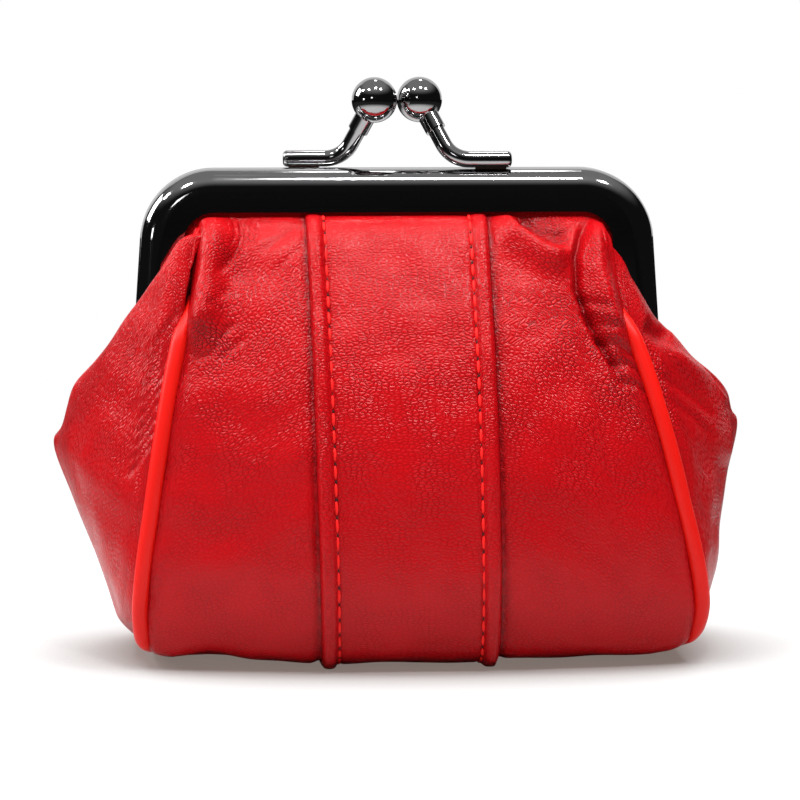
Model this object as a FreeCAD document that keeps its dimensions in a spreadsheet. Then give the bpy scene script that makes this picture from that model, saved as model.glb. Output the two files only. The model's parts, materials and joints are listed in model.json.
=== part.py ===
import FreeCAD, Part
import math
import os
import Sketcher
from FreeCAD import Vector

# A leather purse with a kiss lock: two arched metal channels hinge on rivets at their feet, and two
# balls on bent stems snap past each other to hold them shut. Millimetres, front towards -Y, floor at Z 0.

SIZES = (
    # frames
    ("frame_width", 87.0),
    ("frame_rise", 36.4),
    ("hinge_height", 42.8),
    ("corner_radius", 12.0),
    ("leg_splay", 4.0),
    ("channel_height", 7.0),
    ("channel_depth", 5.0),
    ("channel_wall", 0.8),
    ("channel_front_radius", 3.6),
    ("channel_rear_radius", 1.2),
    ("frame_gap", 0.4),
    # hinge ears and rivets
    ("ear_radius", 3.0),
    ("ear_thickness", 0.8),
    ("ear_end_gap", 0.8),
    ("ear_side_gap", 0.1),
    ("tongue_width", 2.6),
    ("tongue_overlap", 4.5),
    ("rivet_diameter", 2.0),
    ("rivet_clearance", 0.05),
    ("rivet_head_diameter", 3.8),
    ("rivet_head_height", 0.8),
    ("rivet_tail_diameter", 3.2),
    ("rivet_tail_height", 0.5),
    # clasp
    ("ball_diameter", 7.4),
    ("ball_gap", 0.1),
    ("ball_rise", 11.0),
    ("ball_crossing", 1.55),
    ("collar_diameter", 3.4),
    ("collar_length", 2.2),
    ("socket_depth", 4.0),
    ("socket_clearance", 0.02),
    ("stem_diameter", 2.7),
    ("stem_foot", 6.8),
    ("stem_bend_radius", 4.6),
    ("stem_angle", 64.5),
    ("stem_end_round", 0.7),
    ("braze_gap", 0.05),
    ("braze_width", 1.4),
    ("braze_depth", 0.9),
    ("braze_setback", 0.9),
    # leather, piping, lining and packing
    ("leather_thickness", 1.0),
    ("channel_slack", 0.2),
    ("leather_slack", 0.45),
    ("insertion", 3.5),
    ("lip_relief", 1.4),
    ("belly_depth", 26.0),
    ("piping_depth", 21.0),
    ("left_piping_outset", -1.5),
    ("right_piping_outset", 4.2),
    ("nose_overhang", 12.5),
    ("left_nose_height", 35.3),
    ("right_nose_height", 38.0),
    ("gusset_bulge", 2.0),
    ("gusset_billow", 6.0),
    ("hinge_notch", 7.0),
    ("strip_half_width", 14.6),
    ("rib_height", 0.9),
    ("seam_gap", 0.3),
    ("piping_diameter", 2.6),
    ("piping_relief", 0.6),
    ("base_sink", 0.2),
    ("lining_thickness", 0.3),
    ("lining_gap", 0.25),
    ("lining_slack", 3.0),
    ("lining_relief", 1.5),
    ("packing_diameter", 1.0),
    ("packing_inset", 3.6),
    ("cut_overrun", 5.0),
)

# Rows of every sewn piece, from the edge held in the channel down to the bottom seam. The first rows
# are held: one at the frame's lip, one just under it. The next is clear of the lip, then the shoulder.
LIP_ROW, UNDER_ROW, CLEAR_ROW, SHOULDER_ROW = range(2, 6)
ROW_COUNT = 13
# Heights of the held rows above the lip, as shares of the leather's insertion.
HELD_SHARES = (1.0, 0.5, 0.0, -0.46)
# Heights of the hanging rows, as shares of the lip's height above the base.
HEIGHT_SHARES = (0.96, 0.85, 0.645, 0.40, 0.12, 0.03, 0.0, 0.0, 0.0)
# Distances in front of the middle plane, as shares of the depth at the centre and at the piping.
CENTER_DEPTH_SHARES = (0.27, 0.52, 0.82, 1.0, 0.95, 0.80, 0.58, 0.28, 0.0)
PIPING_DEPTH_SHARES = (0.36, 0.62, 0.87, 1.0, 0.93, 0.78, 0.55, 0.28, 0.0)
# Way of the piping from the frame's corner out to its full reach.
PIPING_REACH_SHARES = (-0.02, 0.08, 0.42, 0.74, 1.0, 0.96, 0.88, 0.84, 0.82)
# Gusset mid-line: from the hinge out to the nose, then from the piping's reach to the nose.
NOSE_OUT_SHARES = (-0.25, -0.21, -0.17, -0.12, 0.06, 0.52)
NOSE_DROP_SHARES = (0.0, 0.005, 0.015, 0.03, 0.06, 0.18)
NOSE_BACK_SHARES = (1.0, 0.77, 0.28, 0.16, 0.12, 0.1, 0.1)
NOSE_HEIGHT_SHARES = (1.0, 0.72, 0.24, 0.09, 0.055, 0.035, 0.03)
GUSSET_COLUMN_SHARES = (0.0, 0.25, 0.5, 0.72, 0.8, 1.0)
GUSSET_LEG_SHARES = (0.0, 0.33, 0.67, 0.93, 1.0, 1.0)
GUSSET_BULGE_SHARES = (1.0, 1.0, 0.7, 0.3, 0.1, 0.0, 0.0)
BILLOW_DIRECTION_SHARES = (0.2, 0.65, 0.72)
OUTER_PANEL_SHARES = (0.0, 0.33, 0.67, 1.0)
STRIP_COLUMN_SHARES = (-1.0, -0.92, -0.82, -0.5, 0.0, 0.5, 0.82, 0.92, 1.0)
STRIP_RIB_SHARES = (0.9, 1.0, 0.1, 0.0, 0.0, 0.0, 0.1, 1.0, 0.9)
# Lining: its depths and its side seam's heights row by row, then its section from side to middle.
LINING_DEPTH_SHARES = (0.09, 0.34, 0.70, 0.88, 0.83, 0.68, 0.48, 0.24, 0.0)
LINING_SIDE_SHARES = (0.60, 0.54, 0.45, 0.33, 0.15, 0.10, 0.06, 0.03, 0.0)
LINING_WIDTH_SHARES = (1.0, 0.97, 0.85, 0.45, 0.0)
LINING_CURVE_SHARES = (0.0, 0.45, 0.8, 0.97, 1.0)
LINING_DROP_SHARES = (1.0, 0.5, 0.0, 0.0, 0.0)
LINING_HELD_SHARES = (0.9, 0.45, 1.0, 0.5, 0.0)
LINING_RELIEF_SHARES = (0.2, 0.6, 1.0, 0.2, 0.0)
CROSS_CROWN_POWER = 2.4
PIPING_STATIONS = 28
FRONT, REAR = -1, 1
LEFT, RIGHT = -1, 1

doc = FreeCAD.newDocument("KissLockPurse")
sheet = doc.addObject("Spreadsheet::Sheet", "Sizes")
for line, (alias, value) in enumerate(SIZES, start=1):
    sheet.set(f"A{line}", alias)
    sheet.set(f"B{line}", str(value))
    sheet.setAlias(f"B{line}", alias)
doc.recompute()


def size(alias):
    """Value of one driving dimension."""
    return float(sheet.get(alias))


# Expressions that several pieces share.
TOP = "(Sizes.hinge_height + Sizes.frame_rise)"
LEG_STOP = "(Sizes.ear_radius + Sizes.ear_end_gap)"
HALF_GAP = "(Sizes.frame_gap / 2)"
STEM_Y = "(Sizes.frame_gap / 2 + Sizes.channel_depth / 2)"
ROD_Z = f"({TOP} + Sizes.braze_gap + Sizes.stem_diameter / 2)"
BALL_X = "((Sizes.ball_diameter + Sizes.ball_gap) / 2)"
BALL_Z = f"({TOP} + Sizes.ball_rise)"
LEAN = f"atan(({STEM_Y} + Sizes.ball_crossing) / ({BALL_Z} - {ROD_Z}))"
STEM_CLIMB = f"(({BALL_Z} - {ROD_Z}) / cos({LEAN}))"
BEND = "Sizes.stem_bend_radius"
ANGLE = "Sizes.stem_angle"
STRAIGHT = f"(({STEM_CLIMB} - {BEND} * (1 - cos({ANGLE}))) / sin({ANGLE}))"
STEM_RUN = f"({BEND} * sin({ANGLE}) + {STRAIGHT} * cos({ANGLE}))"
FOOT_X = f"({BALL_X} + {STEM_RUN} + Sizes.stem_foot)"
SOCKET_END = "(Sizes.ball_diameter / 2 + Sizes.collar_length - Sizes.socket_depth)"


def origin_plane(body, role):
    """One of a body's own base planes."""
    return next(item for item in body.Origin.OriginFeatures if item.Role == role)


def new_body(label):
    """An empty body that will become one piece."""
    body = doc.addObject("PartDesign::Body", label)
    body.Label = label
    return body


def new_sketch(body, role, name):
    """A sketch on one of the body's base planes."""
    sketch = body.newObject("Sketcher::SketchObject", f"{body.Name}_{name}")
    sketch.AttachmentSupport = [(origin_plane(body, role), "")]
    sketch.MapMode = "FlatFace"
    return sketch


def add_line(sketch, start, end):
    """A straight edge between two sketch points."""
    return sketch.addGeometry(Part.LineSegment(Vector(*start), Vector(*end)))


def add_arc(sketch, center, radius, first_angle, last_angle):
    """A counterclockwise arc, angles in degrees."""
    circle = Part.Circle(Vector(*center), Vector(0, 0, 1), radius)
    return sketch.addGeometry(Part.ArcOfCircle(circle, math.radians(first_angle), math.radians(last_angle)))


def end_points(sketch, edge):
    """The two ends of a sketch edge, with the numbers that constraints use."""
    geometry = sketch.Geometry[edge]
    return ((1, geometry.StartPoint), (2, geometry.EndPoint))


def join(sketch, kind, first, second):
    """Ties two edges where they already meet, with a Coincident or a Tangent constraint."""
    pairs = [(a, b) for a in end_points(sketch, first) for b in end_points(sketch, second)]
    near = min(pairs, key=lambda pair: pair[0][1].distanceToPoint(pair[1][1]))
    sketch.addConstraint(Sketcher.Constraint(kind, first, near[0][0], second, near[1][0]))


def drive(sketch, name, expression, *constraint):
    """Adds a dimension and binds it to the sheet."""
    index = sketch.addConstraint(Sketcher.Constraint(*constraint))
    sketch.renameConstraint(index, name)
    sketch.setExpression(f"Constraints.{name}", expression)


class Arch:
    """The arched centre line that the frames bend along, in the plane of the frames' faces."""

    def __init__(self):
        self.splay = math.radians(size("leg_splay"))
        self.radius = size("corner_radius")
        self.top = size("hinge_height") + size("frame_rise")
        self.stop = size("ear_radius") + size("ear_end_gap")
        self.center_z = self.top - self.radius
        drop = self.center_z + self.radius * math.sin(self.splay) - size("hinge_height")
        self.leg = drop / math.cos(self.splay)
        reach = self.radius * math.cos(self.splay) + self.leg * math.sin(self.splay)
        self.center_x = size("frame_width") / 2 - reach

    def corner(self, inset, angle):
        """Point on the corner, at an angle in radians above level."""
        inner = self.radius - inset
        return (self.center_x + inner * math.cos(angle), self.center_z + inner * math.sin(angle))

    def height_at(self, inset, across):
        """Height of the top and the corner over a place across the purse."""
        if across <= self.center_x:
            return self.top - inset
        inner = self.radius - inset
        return self.center_z + math.sqrt(inner ** 2 - (across - self.center_x) ** 2)

    def along_leg(self, inset, share):
        """Point on the way from the middle of the corner down to the channel's end."""
        start = math.pi / 4
        bend = (self.radius - inset) * (start - self.splay)
        leg = self.leg - self.stop / math.cos(self.splay)
        way = share * (bend + leg)
        if way < bend:
            return self.corner(inset, start - way / (self.radius - inset))
        x, z = self.corner(inset, self.splay)
        down = way - bend
        return (x + down * math.sin(self.splay), z - down * math.cos(self.splay))


arch = Arch()


def arch_sketch(body, inset, inset_expression):
    """Half of the arch, from the middle of the top down to the end of one leg."""
    sketch = new_sketch(body, "XZ_Plane", "arch")
    corner_end = arch.corner(inset, arch.splay)
    leg_end = arch.along_leg(inset, 1.0)
    radius = arch.radius - inset
    top = add_line(sketch, (0, arch.top - inset), (arch.center_x, arch.top - inset))
    bend = add_arc(sketch, (arch.center_x, arch.center_z), radius, math.degrees(arch.splay), 90)
    leg = add_line(sketch, corner_end, leg_end)
    sketch.addConstraint(Sketcher.Constraint("Horizontal", top))
    sketch.addConstraint(Sketcher.Constraint("PointOnObject", top, 1, -2))
    join(sketch, "Tangent", top, bend)
    join(sketch, "Tangent", bend, leg)
    drive(sketch, "top", f"{TOP} - {inset_expression}", "DistanceY", -1, 1, top, 1, arch.top - inset)
    drive(sketch, "corner", f"Sizes.corner_radius - {inset_expression}", "Radius", bend, radius)
    drop = f"{LEG_STOP} * tan(Sizes.leg_splay) + {inset_expression} / cos(Sizes.leg_splay)"
    foot = f"Sizes.frame_width / 2 - ({drop})"
    drive(sketch, "foot", foot, "DistanceX", -1, 1, leg, 2, leg_end[0])
    drive(sketch, "stop", f"Sizes.hinge_height + {LEG_STOP}", "DistanceY", -1, 1, leg, 2, leg_end[1])
    slope = arch.splay - math.pi / 2
    drive(sketch, "splay", "(Sizes.leg_splay - 90) * 1 deg", "Angle", leg, slope)
    return sketch


def channel_sketch(body, side):
    """The U section of a frame, open downwards, seen in the middle plane."""
    sketch = new_sketch(body, "YZ_Plane", "section")
    wall = size("channel_wall")
    back = side * size("frame_gap") / 2
    face = back + side * size("channel_depth")
    lip = arch.top - size("channel_height")
    big = size("channel_front_radius")
    small = size("channel_rear_radius")
    big_center = (face - side * big, arch.top - big)
    small_center = (back + side * small, arch.top - small)
    outward = (0, 90) if side == REAR else (90, 180)
    inward = (90, 180) if side == REAR else (0, 90)
    front_wall = add_line(sketch, (face, lip), (face, big_center[1]))
    front_bend = add_arc(sketch, big_center, big, *outward)
    crown = add_line(sketch, (big_center[0], arch.top), (small_center[0], arch.top))
    rear_bend = add_arc(sketch, small_center, small, *inward)
    rear_wall = add_line(sketch, (back, small_center[1]), (back, lip))
    rear_lip = add_line(sketch, (back, lip), (back + side * wall, lip))
    rear_inside = add_line(sketch, (back + side * wall, lip), (back + side * wall, small_center[1]))
    rear_inside_bend = add_arc(sketch, small_center, small - wall, *inward)
    crown_inside = add_line(sketch, (small_center[0], arch.top - wall), (big_center[0], arch.top - wall))
    front_inside_bend = add_arc(sketch, big_center, big - wall, *outward)
    front_inside = add_line(sketch, (face - side * wall, big_center[1]), (face - side * wall, lip))
    front_lip = add_line(sketch, (face - side * wall, lip), (face, lip))
    for edge in (front_wall, rear_wall, rear_inside, front_inside):
        sketch.addConstraint(Sketcher.Constraint("Vertical", edge))
    for edge in (crown, rear_lip, crown_inside, front_lip):
        sketch.addConstraint(Sketcher.Constraint("Horizontal", edge))
    smooth = (
        (front_wall, front_bend),
        (front_bend, crown),
        (crown, rear_bend),
        (rear_bend, rear_wall),
        (rear_inside, rear_inside_bend),
        (rear_inside_bend, crown_inside),
        (crown_inside, front_inside_bend),
        (front_inside_bend, front_inside),
    )
    for first, second in smooth:
        join(sketch, "Tangent", first, second)
    square = (
        (rear_wall, rear_lip),
        (rear_lip, rear_inside),
        (front_inside, front_lip),
        (front_lip, front_wall),
    )
    for first, second in square:
        join(sketch, "Coincident", first, second)
    sketch.addConstraint(Sketcher.Constraint("Coincident", front_bend, 3, front_inside_bend, 3))
    sketch.addConstraint(Sketcher.Constraint("Coincident", rear_bend, 3, rear_inside_bend, 3))
    sketch.addConstraint(Sketcher.Constraint("Horizontal", front_wall, 1, rear_lip, 1))
    drive(sketch, "front_radius", "Sizes.channel_front_radius", "Radius", front_bend, big)
    drive(sketch, "rear_radius", "Sizes.channel_rear_radius", "Radius", rear_bend, small)
    drive(sketch, "top", TOP, "DistanceY", -1, 1, crown, 1, arch.top)
    drive(sketch, "height", "Sizes.channel_height", "DistanceY", front_wall, 1, crown, 1, arch.top - lip)
    outer = ((front_wall, 1), (rear_lip, 1))
    walls = ((rear_lip, 2), (rear_lip, 1))
    middle = ((rear_lip, 1), (-1, 1))
    widths = (
        ("depth", "Sizes.channel_depth", outer, size("channel_depth")),
        ("wall", "Sizes.channel_wall", walls, wall),
        ("gap", HALF_GAP, middle, abs(back)),
    )
    for name, expression, (far, near), value in widths:
        ends = far + near if side == FRONT else near + far
        drive(sketch, name, expression, "DistanceX", *ends, value)
    return sketch


def ear_plane(sketch, inward_expression):
    """Moves a sketch out to the plane of a hinge ear on the right side."""
    sketch.setExpression("AttachmentOffset.Base.z", f"Sizes.frame_width / 2 - {inward_expression}")


def ear_features(body, side):
    """The tongue that runs down from the channel and the round ear that the rivet passes through."""
    plane = "Sizes.ear_thickness"
    bore = "Sizes.rivet_diameter / 2 + Sizes.rivet_clearance"
    if side == REAR:
        plane = "(2 * Sizes.ear_thickness + Sizes.ear_side_gap)"
        bore = "Sizes.rivet_diameter / 2"
    hinge = size("hinge_height")
    inner = side * (size("frame_gap") / 2 + size("channel_wall") / 2)
    outer = inner + side * size("tongue_width")
    low = hinge + size("ear_radius") / 2
    high = hinge + arch.stop + size("tongue_overlap")
    tongue = new_sketch(body, "YZ_Plane", "tongue")
    ear_plane(tongue, plane)
    corners = ((inner, low), (outer, low), (outer, high), (inner, high))
    edges = [add_line(tongue, corners[i], corners[(i + 1) % 4]) for i in range(4)]
    for i in range(4):
        join(tongue, "Coincident", edges[i], edges[(i + 1) % 4])
        tongue.addConstraint(Sketcher.Constraint("Horizontal" if i % 2 == 0 else "Vertical", edges[i]))
    near = ((edges[0], 1), (-1, 1))
    far = ((edges[0], 2), (edges[0], 1))
    spans = (
        ("inner", f"{HALF_GAP} + Sizes.channel_wall / 2", near, abs(inner)),
        ("width", "Sizes.tongue_width", far, size("tongue_width")),
    )
    for name, expression, (away, close), value in spans:
        ends = away + close if side == FRONT else close + away
        drive(tongue, name, expression, "DistanceX", *ends, value)
    drive(tongue, "low", "Sizes.hinge_height + Sizes.ear_radius / 2", "DistanceY", -1, 1, edges[0], 1, low)
    top = f"Sizes.hinge_height + {LEG_STOP} + Sizes.tongue_overlap"
    drive(tongue, "high", top, "DistanceY", -1, 1, edges[2], 1, high)
    ear = new_sketch(body, "YZ_Plane", "ear")
    ear_plane(ear, plane)
    rings = []
    for radius in (size("ear_radius"), size("rivet_diameter") / 2):
        rings.append(ear.addGeometry(Part.Circle(Vector(0, hinge, 0), Vector(0, 0, 1), radius)))
    ear.addConstraint(Sketcher.Constraint("PointOnObject", rings[0], 3, -2))
    ear.addConstraint(Sketcher.Constraint("Coincident", rings[0], 3, rings[1], 3))
    drive(ear, "axis", "Sizes.hinge_height", "DistanceY", -1, 1, rings[0], 3, hinge)
    drive(ear, "ear_radius", "Sizes.ear_radius", "Radius", rings[0], size("ear_radius"))
    drive(ear, "bore", bore, "Radius", rings[1], size("rivet_diameter") / 2)
    pads = []
    for sketch in (tongue, ear):
        pad = body.newObject("PartDesign::Pad", f"{sketch.Name}_pad")
        pad.Profile = sketch
        pad.setExpression("Length", "Sizes.ear_thickness")
        pads.append(pad)
    return pads


def mirror_across(body, features):
    """Repeats features on the other side of the middle plane."""
    mirror = body.newObject("PartDesign::Mirrored", f"{body.Name}_mirror")
    mirror.Originals = features
    mirror.MirrorPlane = (origin_plane(body, "YZ_Plane"), [""])
    body.Tip = mirror


def sweep(body, profile, spine):
    """Carries a section along a sketched path."""
    pipe = body.newObject("PartDesign::AdditivePipe", f"{body.Name}_sweep")
    pipe.Profile = profile
    pipe.Spine = (spine, [f"Edge{i + 1}" for i in range(len(spine.Geometry))])
    return pipe


def make_frame(label, side):
    """One arched channel with its two hinge ears."""
    body = new_body(label)
    spine = arch_sketch(body, 0.0, "0")
    section = channel_sketch(body, side)
    pipe = sweep(body, section, spine)
    pads = ear_features(body, side)
    doc.recompute()
    mirror_across(body, [pipe] + pads)
    return body


def make_packing_cord(label, side):
    """The twisted cord that wedges the leather and the lining in a channel."""
    body = new_body(label)
    inset = size("packing_inset")
    spine = arch_sketch(body, inset, "Sizes.packing_inset")
    section = new_sketch(body, "YZ_Plane", "section")
    radius = size("packing_diameter") / 2
    back = size("frame_gap") / 2 + size("channel_wall") + size("channel_slack") + radius
    center = Vector(side * back, arch.top - inset, 0)
    ring = section.addGeometry(Part.Circle(center, Vector(0, 0, 1), radius))
    place = f"{HALF_GAP} + Sizes.channel_wall + Sizes.channel_slack + Sizes.packing_diameter / 2"
    ends = (ring, 3, -1, 1) if side == FRONT else (-1, 1, ring, 3)
    drive(section, "place", place, "DistanceX", *ends, back)
    drive(section, "level", f"{TOP} - Sizes.packing_inset", "DistanceY", -1, 1, ring, 3, center.y)
    drive(section, "round", "Sizes.packing_diameter / 2", "Radius", ring, radius)
    pipe = sweep(body, section, spine)
    doc.recompute()
    mirror_across(body, [pipe])
    return body


def closed_outline(sketch, points):
    """Straight edges around a list of points, joined at their ends."""
    edges = []
    for index, start in enumerate(points):
        end = points[(index + 1) % len(points)]
        edges.append(add_line(sketch, start, end))
    for index, edge in enumerate(edges):
        join(sketch, "Coincident", edge, edges[(index + 1) % len(edges)])
    return edges


def revolve(body, sketch, axis):
    """Turns a half section once around one of its sketch's axes."""
    turn = body.newObject("PartDesign::Revolution", f"{body.Name}_turn")
    turn.Profile = sketch
    turn.ReferenceAxis = (sketch, [axis])
    turn.Angle = 360
    return turn


def make_rivet(label, hand):
    """A hinge rivet: a head outside, a shank through both ears and a closed tail inside."""
    body = new_body(label)
    sketch = new_sketch(body, "XY_Plane", "half")
    outside = size("frame_width") / 2
    grip = 2 * size("ear_thickness") + size("ear_side_gap")
    inside = outside - grip
    tail = inside - size("rivet_tail_height")
    head = outside + size("rivet_head_height")
    shank_radius = size("rivet_diameter") / 2
    head_radius = size("rivet_head_diameter") / 2
    tail_radius = size("rivet_tail_diameter") / 2
    half = (
        (tail, 0),
        (tail, tail_radius),
        (inside, tail_radius),
        (inside, shank_radius),
        (outside, shank_radius),
        (outside, head_radius),
        (head, shank_radius),
        (head, 0),
    )
    edges = closed_outline(sketch, [(hand * x, y) for x, y in half])
    for index in (0, 2, 4, 6):
        sketch.addConstraint(Sketcher.Constraint("Vertical", edges[index]))
    for index in (1, 3, 7):
        sketch.addConstraint(Sketcher.Constraint("Horizontal", edges[index]))
    sketch.addConstraint(Sketcher.Constraint("PointOnObject", edges[0], 1, -1))
    sketch.addConstraint(Sketcher.Constraint("Horizontal", edges[4], 1, edges[6], 1))
    grip_text = "2 * Sizes.ear_thickness + Sizes.ear_side_gap"
    lengths = (
        ("tail", 0, f"Sizes.frame_width / 2 - ({grip_text}) - Sizes.rivet_tail_height", tail),
        ("inside", 2, f"Sizes.frame_width / 2 - ({grip_text})", inside),
        ("outside", 4, "Sizes.frame_width / 2", outside),
        ("head", 6, "Sizes.frame_width / 2 + Sizes.rivet_head_height", head),
    )
    for name, edge, expression, value in lengths:
        ends = (-1, 1, edges[edge], 1) if hand == RIGHT else (edges[edge], 1, -1, 1)
        drive(sketch, name, expression, "DistanceX", *ends, value)
    radii = (
        ("tail_radius", 1, "Sizes.rivet_tail_diameter / 2", tail_radius),
        ("shank_radius", 3, "Sizes.rivet_diameter / 2", shank_radius),
        ("head_radius", 5, "Sizes.rivet_head_diameter / 2", head_radius),
    )
    for name, edge, expression, value in radii:
        drive(sketch, name, expression, "DistanceY", -1, 1, edges[edge], 1, value)
    revolve(body, sketch, "H_Axis")
    body.setExpression("Placement.Base.z", "Sizes.hinge_height")
    return body


def stem_turn(side):
    """Rotation that leans a stem over the other frame, the rear one from the left."""
    if side == FRONT:
        return f"rotation(vector(1; 0; 0); -1 * {LEAN}) * rotation(vector(0; 0; 1); 180)"
    return f"rotation(vector(1; 0; 0); {LEAN})"


def make_stem(label, side):
    """A bent rod: a foot along the top of the frame, a bend and a straight end inside the ball."""
    body = new_body(label)
    spine = new_sketch(body, "XZ_Plane", "path")
    foot = size("stem_foot")
    bend = size("stem_bend_radius")
    angle = math.radians(size("stem_angle"))
    stop = foot + bend * math.sin(angle)
    rise = bend * (1 - math.cos(angle))
    run = size("socket_depth")
    level = add_line(spine, (0, 0), (foot, 0))
    curve = add_arc(spine, (foot, bend), bend, 270, 270 + size("stem_angle"))
    tip = (stop + run * math.cos(angle), rise + run * math.sin(angle))
    straight = add_line(spine, (stop, rise), tip)
    spine.addConstraint(Sketcher.Constraint("Coincident", level, 1, -1, 1))
    spine.addConstraint(Sketcher.Constraint("Horizontal", level))
    join(spine, "Tangent", level, curve)
    join(spine, "Tangent", curve, straight)
    drive(spine, "foot", "Sizes.stem_foot", "DistanceX", level, 1, level, 2, foot)
    drive(spine, "bend", BEND, "Radius", curve, bend)
    drive(spine, "angle", f"{ANGLE} * 1 deg", "Angle", straight, angle)
    drive(spine, "straight", f"{STRAIGHT} - {SOCKET_END}", "Distance", straight, run)
    section = new_sketch(body, "YZ_Plane", "section")
    ring = section.addGeometry(Part.Circle(Vector(0, 0, 0), Vector(0, 0, 1), size("stem_diameter") / 2))
    section.addConstraint(Sketcher.Constraint("Coincident", ring, 3, -1, 1))
    drive(section, "round", "Sizes.stem_diameter / 2", "Radius", ring, size("stem_diameter") / 2)
    pipe = sweep(body, section, spine)
    doc.recompute()
    rim = min(range(len(pipe.Shape.Edges)), key=lambda i: pipe.Shape.Edges[i].BoundBox.XMax)
    rounding = body.newObject("PartDesign::Fillet", f"{label}_end")
    rounding.Base = (pipe, [f"Edge{rim + 1}"])
    rounding.setExpression("Radius", "Sizes.stem_end_round")
    place = f"vector({-side} * {FOOT_X}; {side} * {STEM_Y}; {ROD_Z})"
    body.setExpression("Placement", f"placement({place}; {stem_turn(side)})")
    return body


def make_ball(label, side):
    """A clasp ball with its collar and the blind socket that the stem is pressed into."""
    body = new_body(label)
    sketch = new_sketch(body, "XZ_Plane", "half")
    ball = size("ball_diameter") / 2
    collar = size("collar_diameter") / 2
    bore = size("stem_diameter") / 2 + size("socket_clearance")
    low = -(ball + size("collar_length"))
    socket = low + size("socket_depth")
    meet = -math.sqrt(ball ** 2 - collar ** 2)
    start = math.degrees(math.atan2(meet, collar))
    cap = add_arc(sketch, (0, 0), ball, start, 90)
    points = ((collar, meet), (collar, low), (bore, low), (bore, socket), (0, socket), (0, ball))
    edges = [add_line(sketch, points[i], points[i + 1]) for i in range(len(points) - 1)]
    for first, second in zip(edges, edges[1:]):
        join(sketch, "Coincident", first, second)
    join(sketch, "Coincident", cap, edges[0])
    join(sketch, "Coincident", cap, edges[-1])
    for index in (0, 2, 4):
        sketch.addConstraint(Sketcher.Constraint("Vertical", edges[index]))
    for index in (1, 3):
        sketch.addConstraint(Sketcher.Constraint("Horizontal", edges[index]))
    sketch.addConstraint(Sketcher.Constraint("Coincident", cap, 3, -1, 1))
    sketch.addConstraint(Sketcher.Constraint("PointOnObject", edges[4], 1, -2))
    drive(sketch, "ball", "Sizes.ball_diameter / 2", "Radius", cap, ball)
    drive(sketch, "collar", "Sizes.collar_diameter / 2", "DistanceX", -1, 1, edges[0], 2, collar)
    bore_text = "Sizes.stem_diameter / 2 + Sizes.socket_clearance"
    drive(sketch, "bore", bore_text, "DistanceX", -1, 1, edges[2], 1, bore)
    reach = "Sizes.ball_diameter / 2 + Sizes.collar_length"
    drive(sketch, "reach", reach, "DistanceY", edges[0], 2, -1, 1, -low)
    drive(sketch, "socket", "Sizes.socket_depth", "DistanceY", edges[2], 1, edges[2], 2, socket - low)
    revolve(body, sketch, "V_Axis")
    place = f"vector({-side} * {BALL_X}; {-side} * Sizes.ball_crossing; {BALL_Z})"
    tilt = f"rotation(vector(0; 1; 0); 90 - {ANGLE})"
    body.setExpression("Placement", f"placement({place}; {stem_turn(side)} * {tilt})")
    return body


def make_braze(label, side, frame):
    """The braze metal between a stem's foot and the top of its frame."""
    length = "(Sizes.stem_foot - 2 * Sizes.braze_setback)"
    center = f"({-side} * ({FOOT_X} - Sizes.stem_foot / 2))"
    block = doc.addObject("Part::Box", f"{label}_block")
    block.setExpression("Length", length)
    block.setExpression("Width", "Sizes.braze_width")
    block.setExpression("Height", "Sizes.braze_depth")
    block.setExpression("Placement.Base.x", f"{center} - {length} / 2")
    block.setExpression("Placement.Base.y", f"{side} * {STEM_Y} - Sizes.braze_width / 2")
    block.setExpression("Placement.Base.z", f"{ROD_Z} - Sizes.braze_depth - Sizes.stem_diameter / 4")
    rod = doc.addObject("Part::Cylinder", f"{label}_rod")
    rod.setExpression("Radius", "Sizes.stem_diameter / 2")
    rod.setExpression("Height", "Sizes.stem_foot")
    place = f"vector({center} - Sizes.stem_foot / 2; {side} * {STEM_Y}; {ROD_Z})"
    rod.setExpression("Placement", f"placement({place}; rotation(vector(0; 1; 0); 90))")
    under = doc.addObject("Part::Cut", f"{label}_under")
    under.Base = block
    under.Tool = rod
    seat = doc.addObject("Part::Cut", label)
    seat.Label = label
    seat.Base = under
    seat.Tool = frame
    return seat


# Leather. Points of the front half are (across, forward, up); the rear half repeats them backwards.


def base_level():
    """Height of the leather's middle where it lies on the floor."""
    return size("leather_thickness") / 2 - size("base_sink")


def lip_height():
    """Height of the frame's lower lip."""
    return arch.top - size("channel_height")


def seat_depth():
    """Distance of the leather's middle in front of the middle plane, inside the channel."""
    inside = size("frame_gap") / 2 + size("channel_depth") - size("channel_wall")
    return inside - size("leather_slack") - size("leather_thickness") / 2


def held_inset(row):
    """How far below the arch a held row lies."""
    return size("channel_height") - size("insertion") * HELD_SHARES[row]


def piping_reach(hand):
    """Full reach of the piping on one side."""
    outset = size("left_piping_outset") if hand == LEFT else size("right_piping_outset")
    return size("frame_width") / 2 + outset


def nose_reach():
    """How far out a gusset's nose stands."""
    return size("frame_width") / 2 + size("nose_overhang")


def hanging_height(row):
    """Height of a hanging row of the front sheet."""
    return base_level() + (lip_height() - base_level()) * HEIGHT_SHARES[row - CLEAR_ROW]


def piping_point(hand, row):
    """Middle of the piping at a row."""
    if row < CLEAR_ROW:
        x, z = arch.corner(held_inset(row), math.pi / 4)
        return Vector(hand * x, seat_depth(), z)
    index = row - CLEAR_ROW
    corner = arch.corner(size("channel_height"), math.pi / 4)
    x = corner[0] + (piping_reach(hand) - corner[0]) * PIPING_REACH_SHARES[index]
    drop = corner[1] / lip_height()
    z = max(hanging_height(row) * drop, size("piping_diameter") / 2 + size("base_sink"))
    y = size("piping_depth") * PIPING_DEPTH_SHARES[index]
    return Vector(hand * x, y, z)


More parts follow.
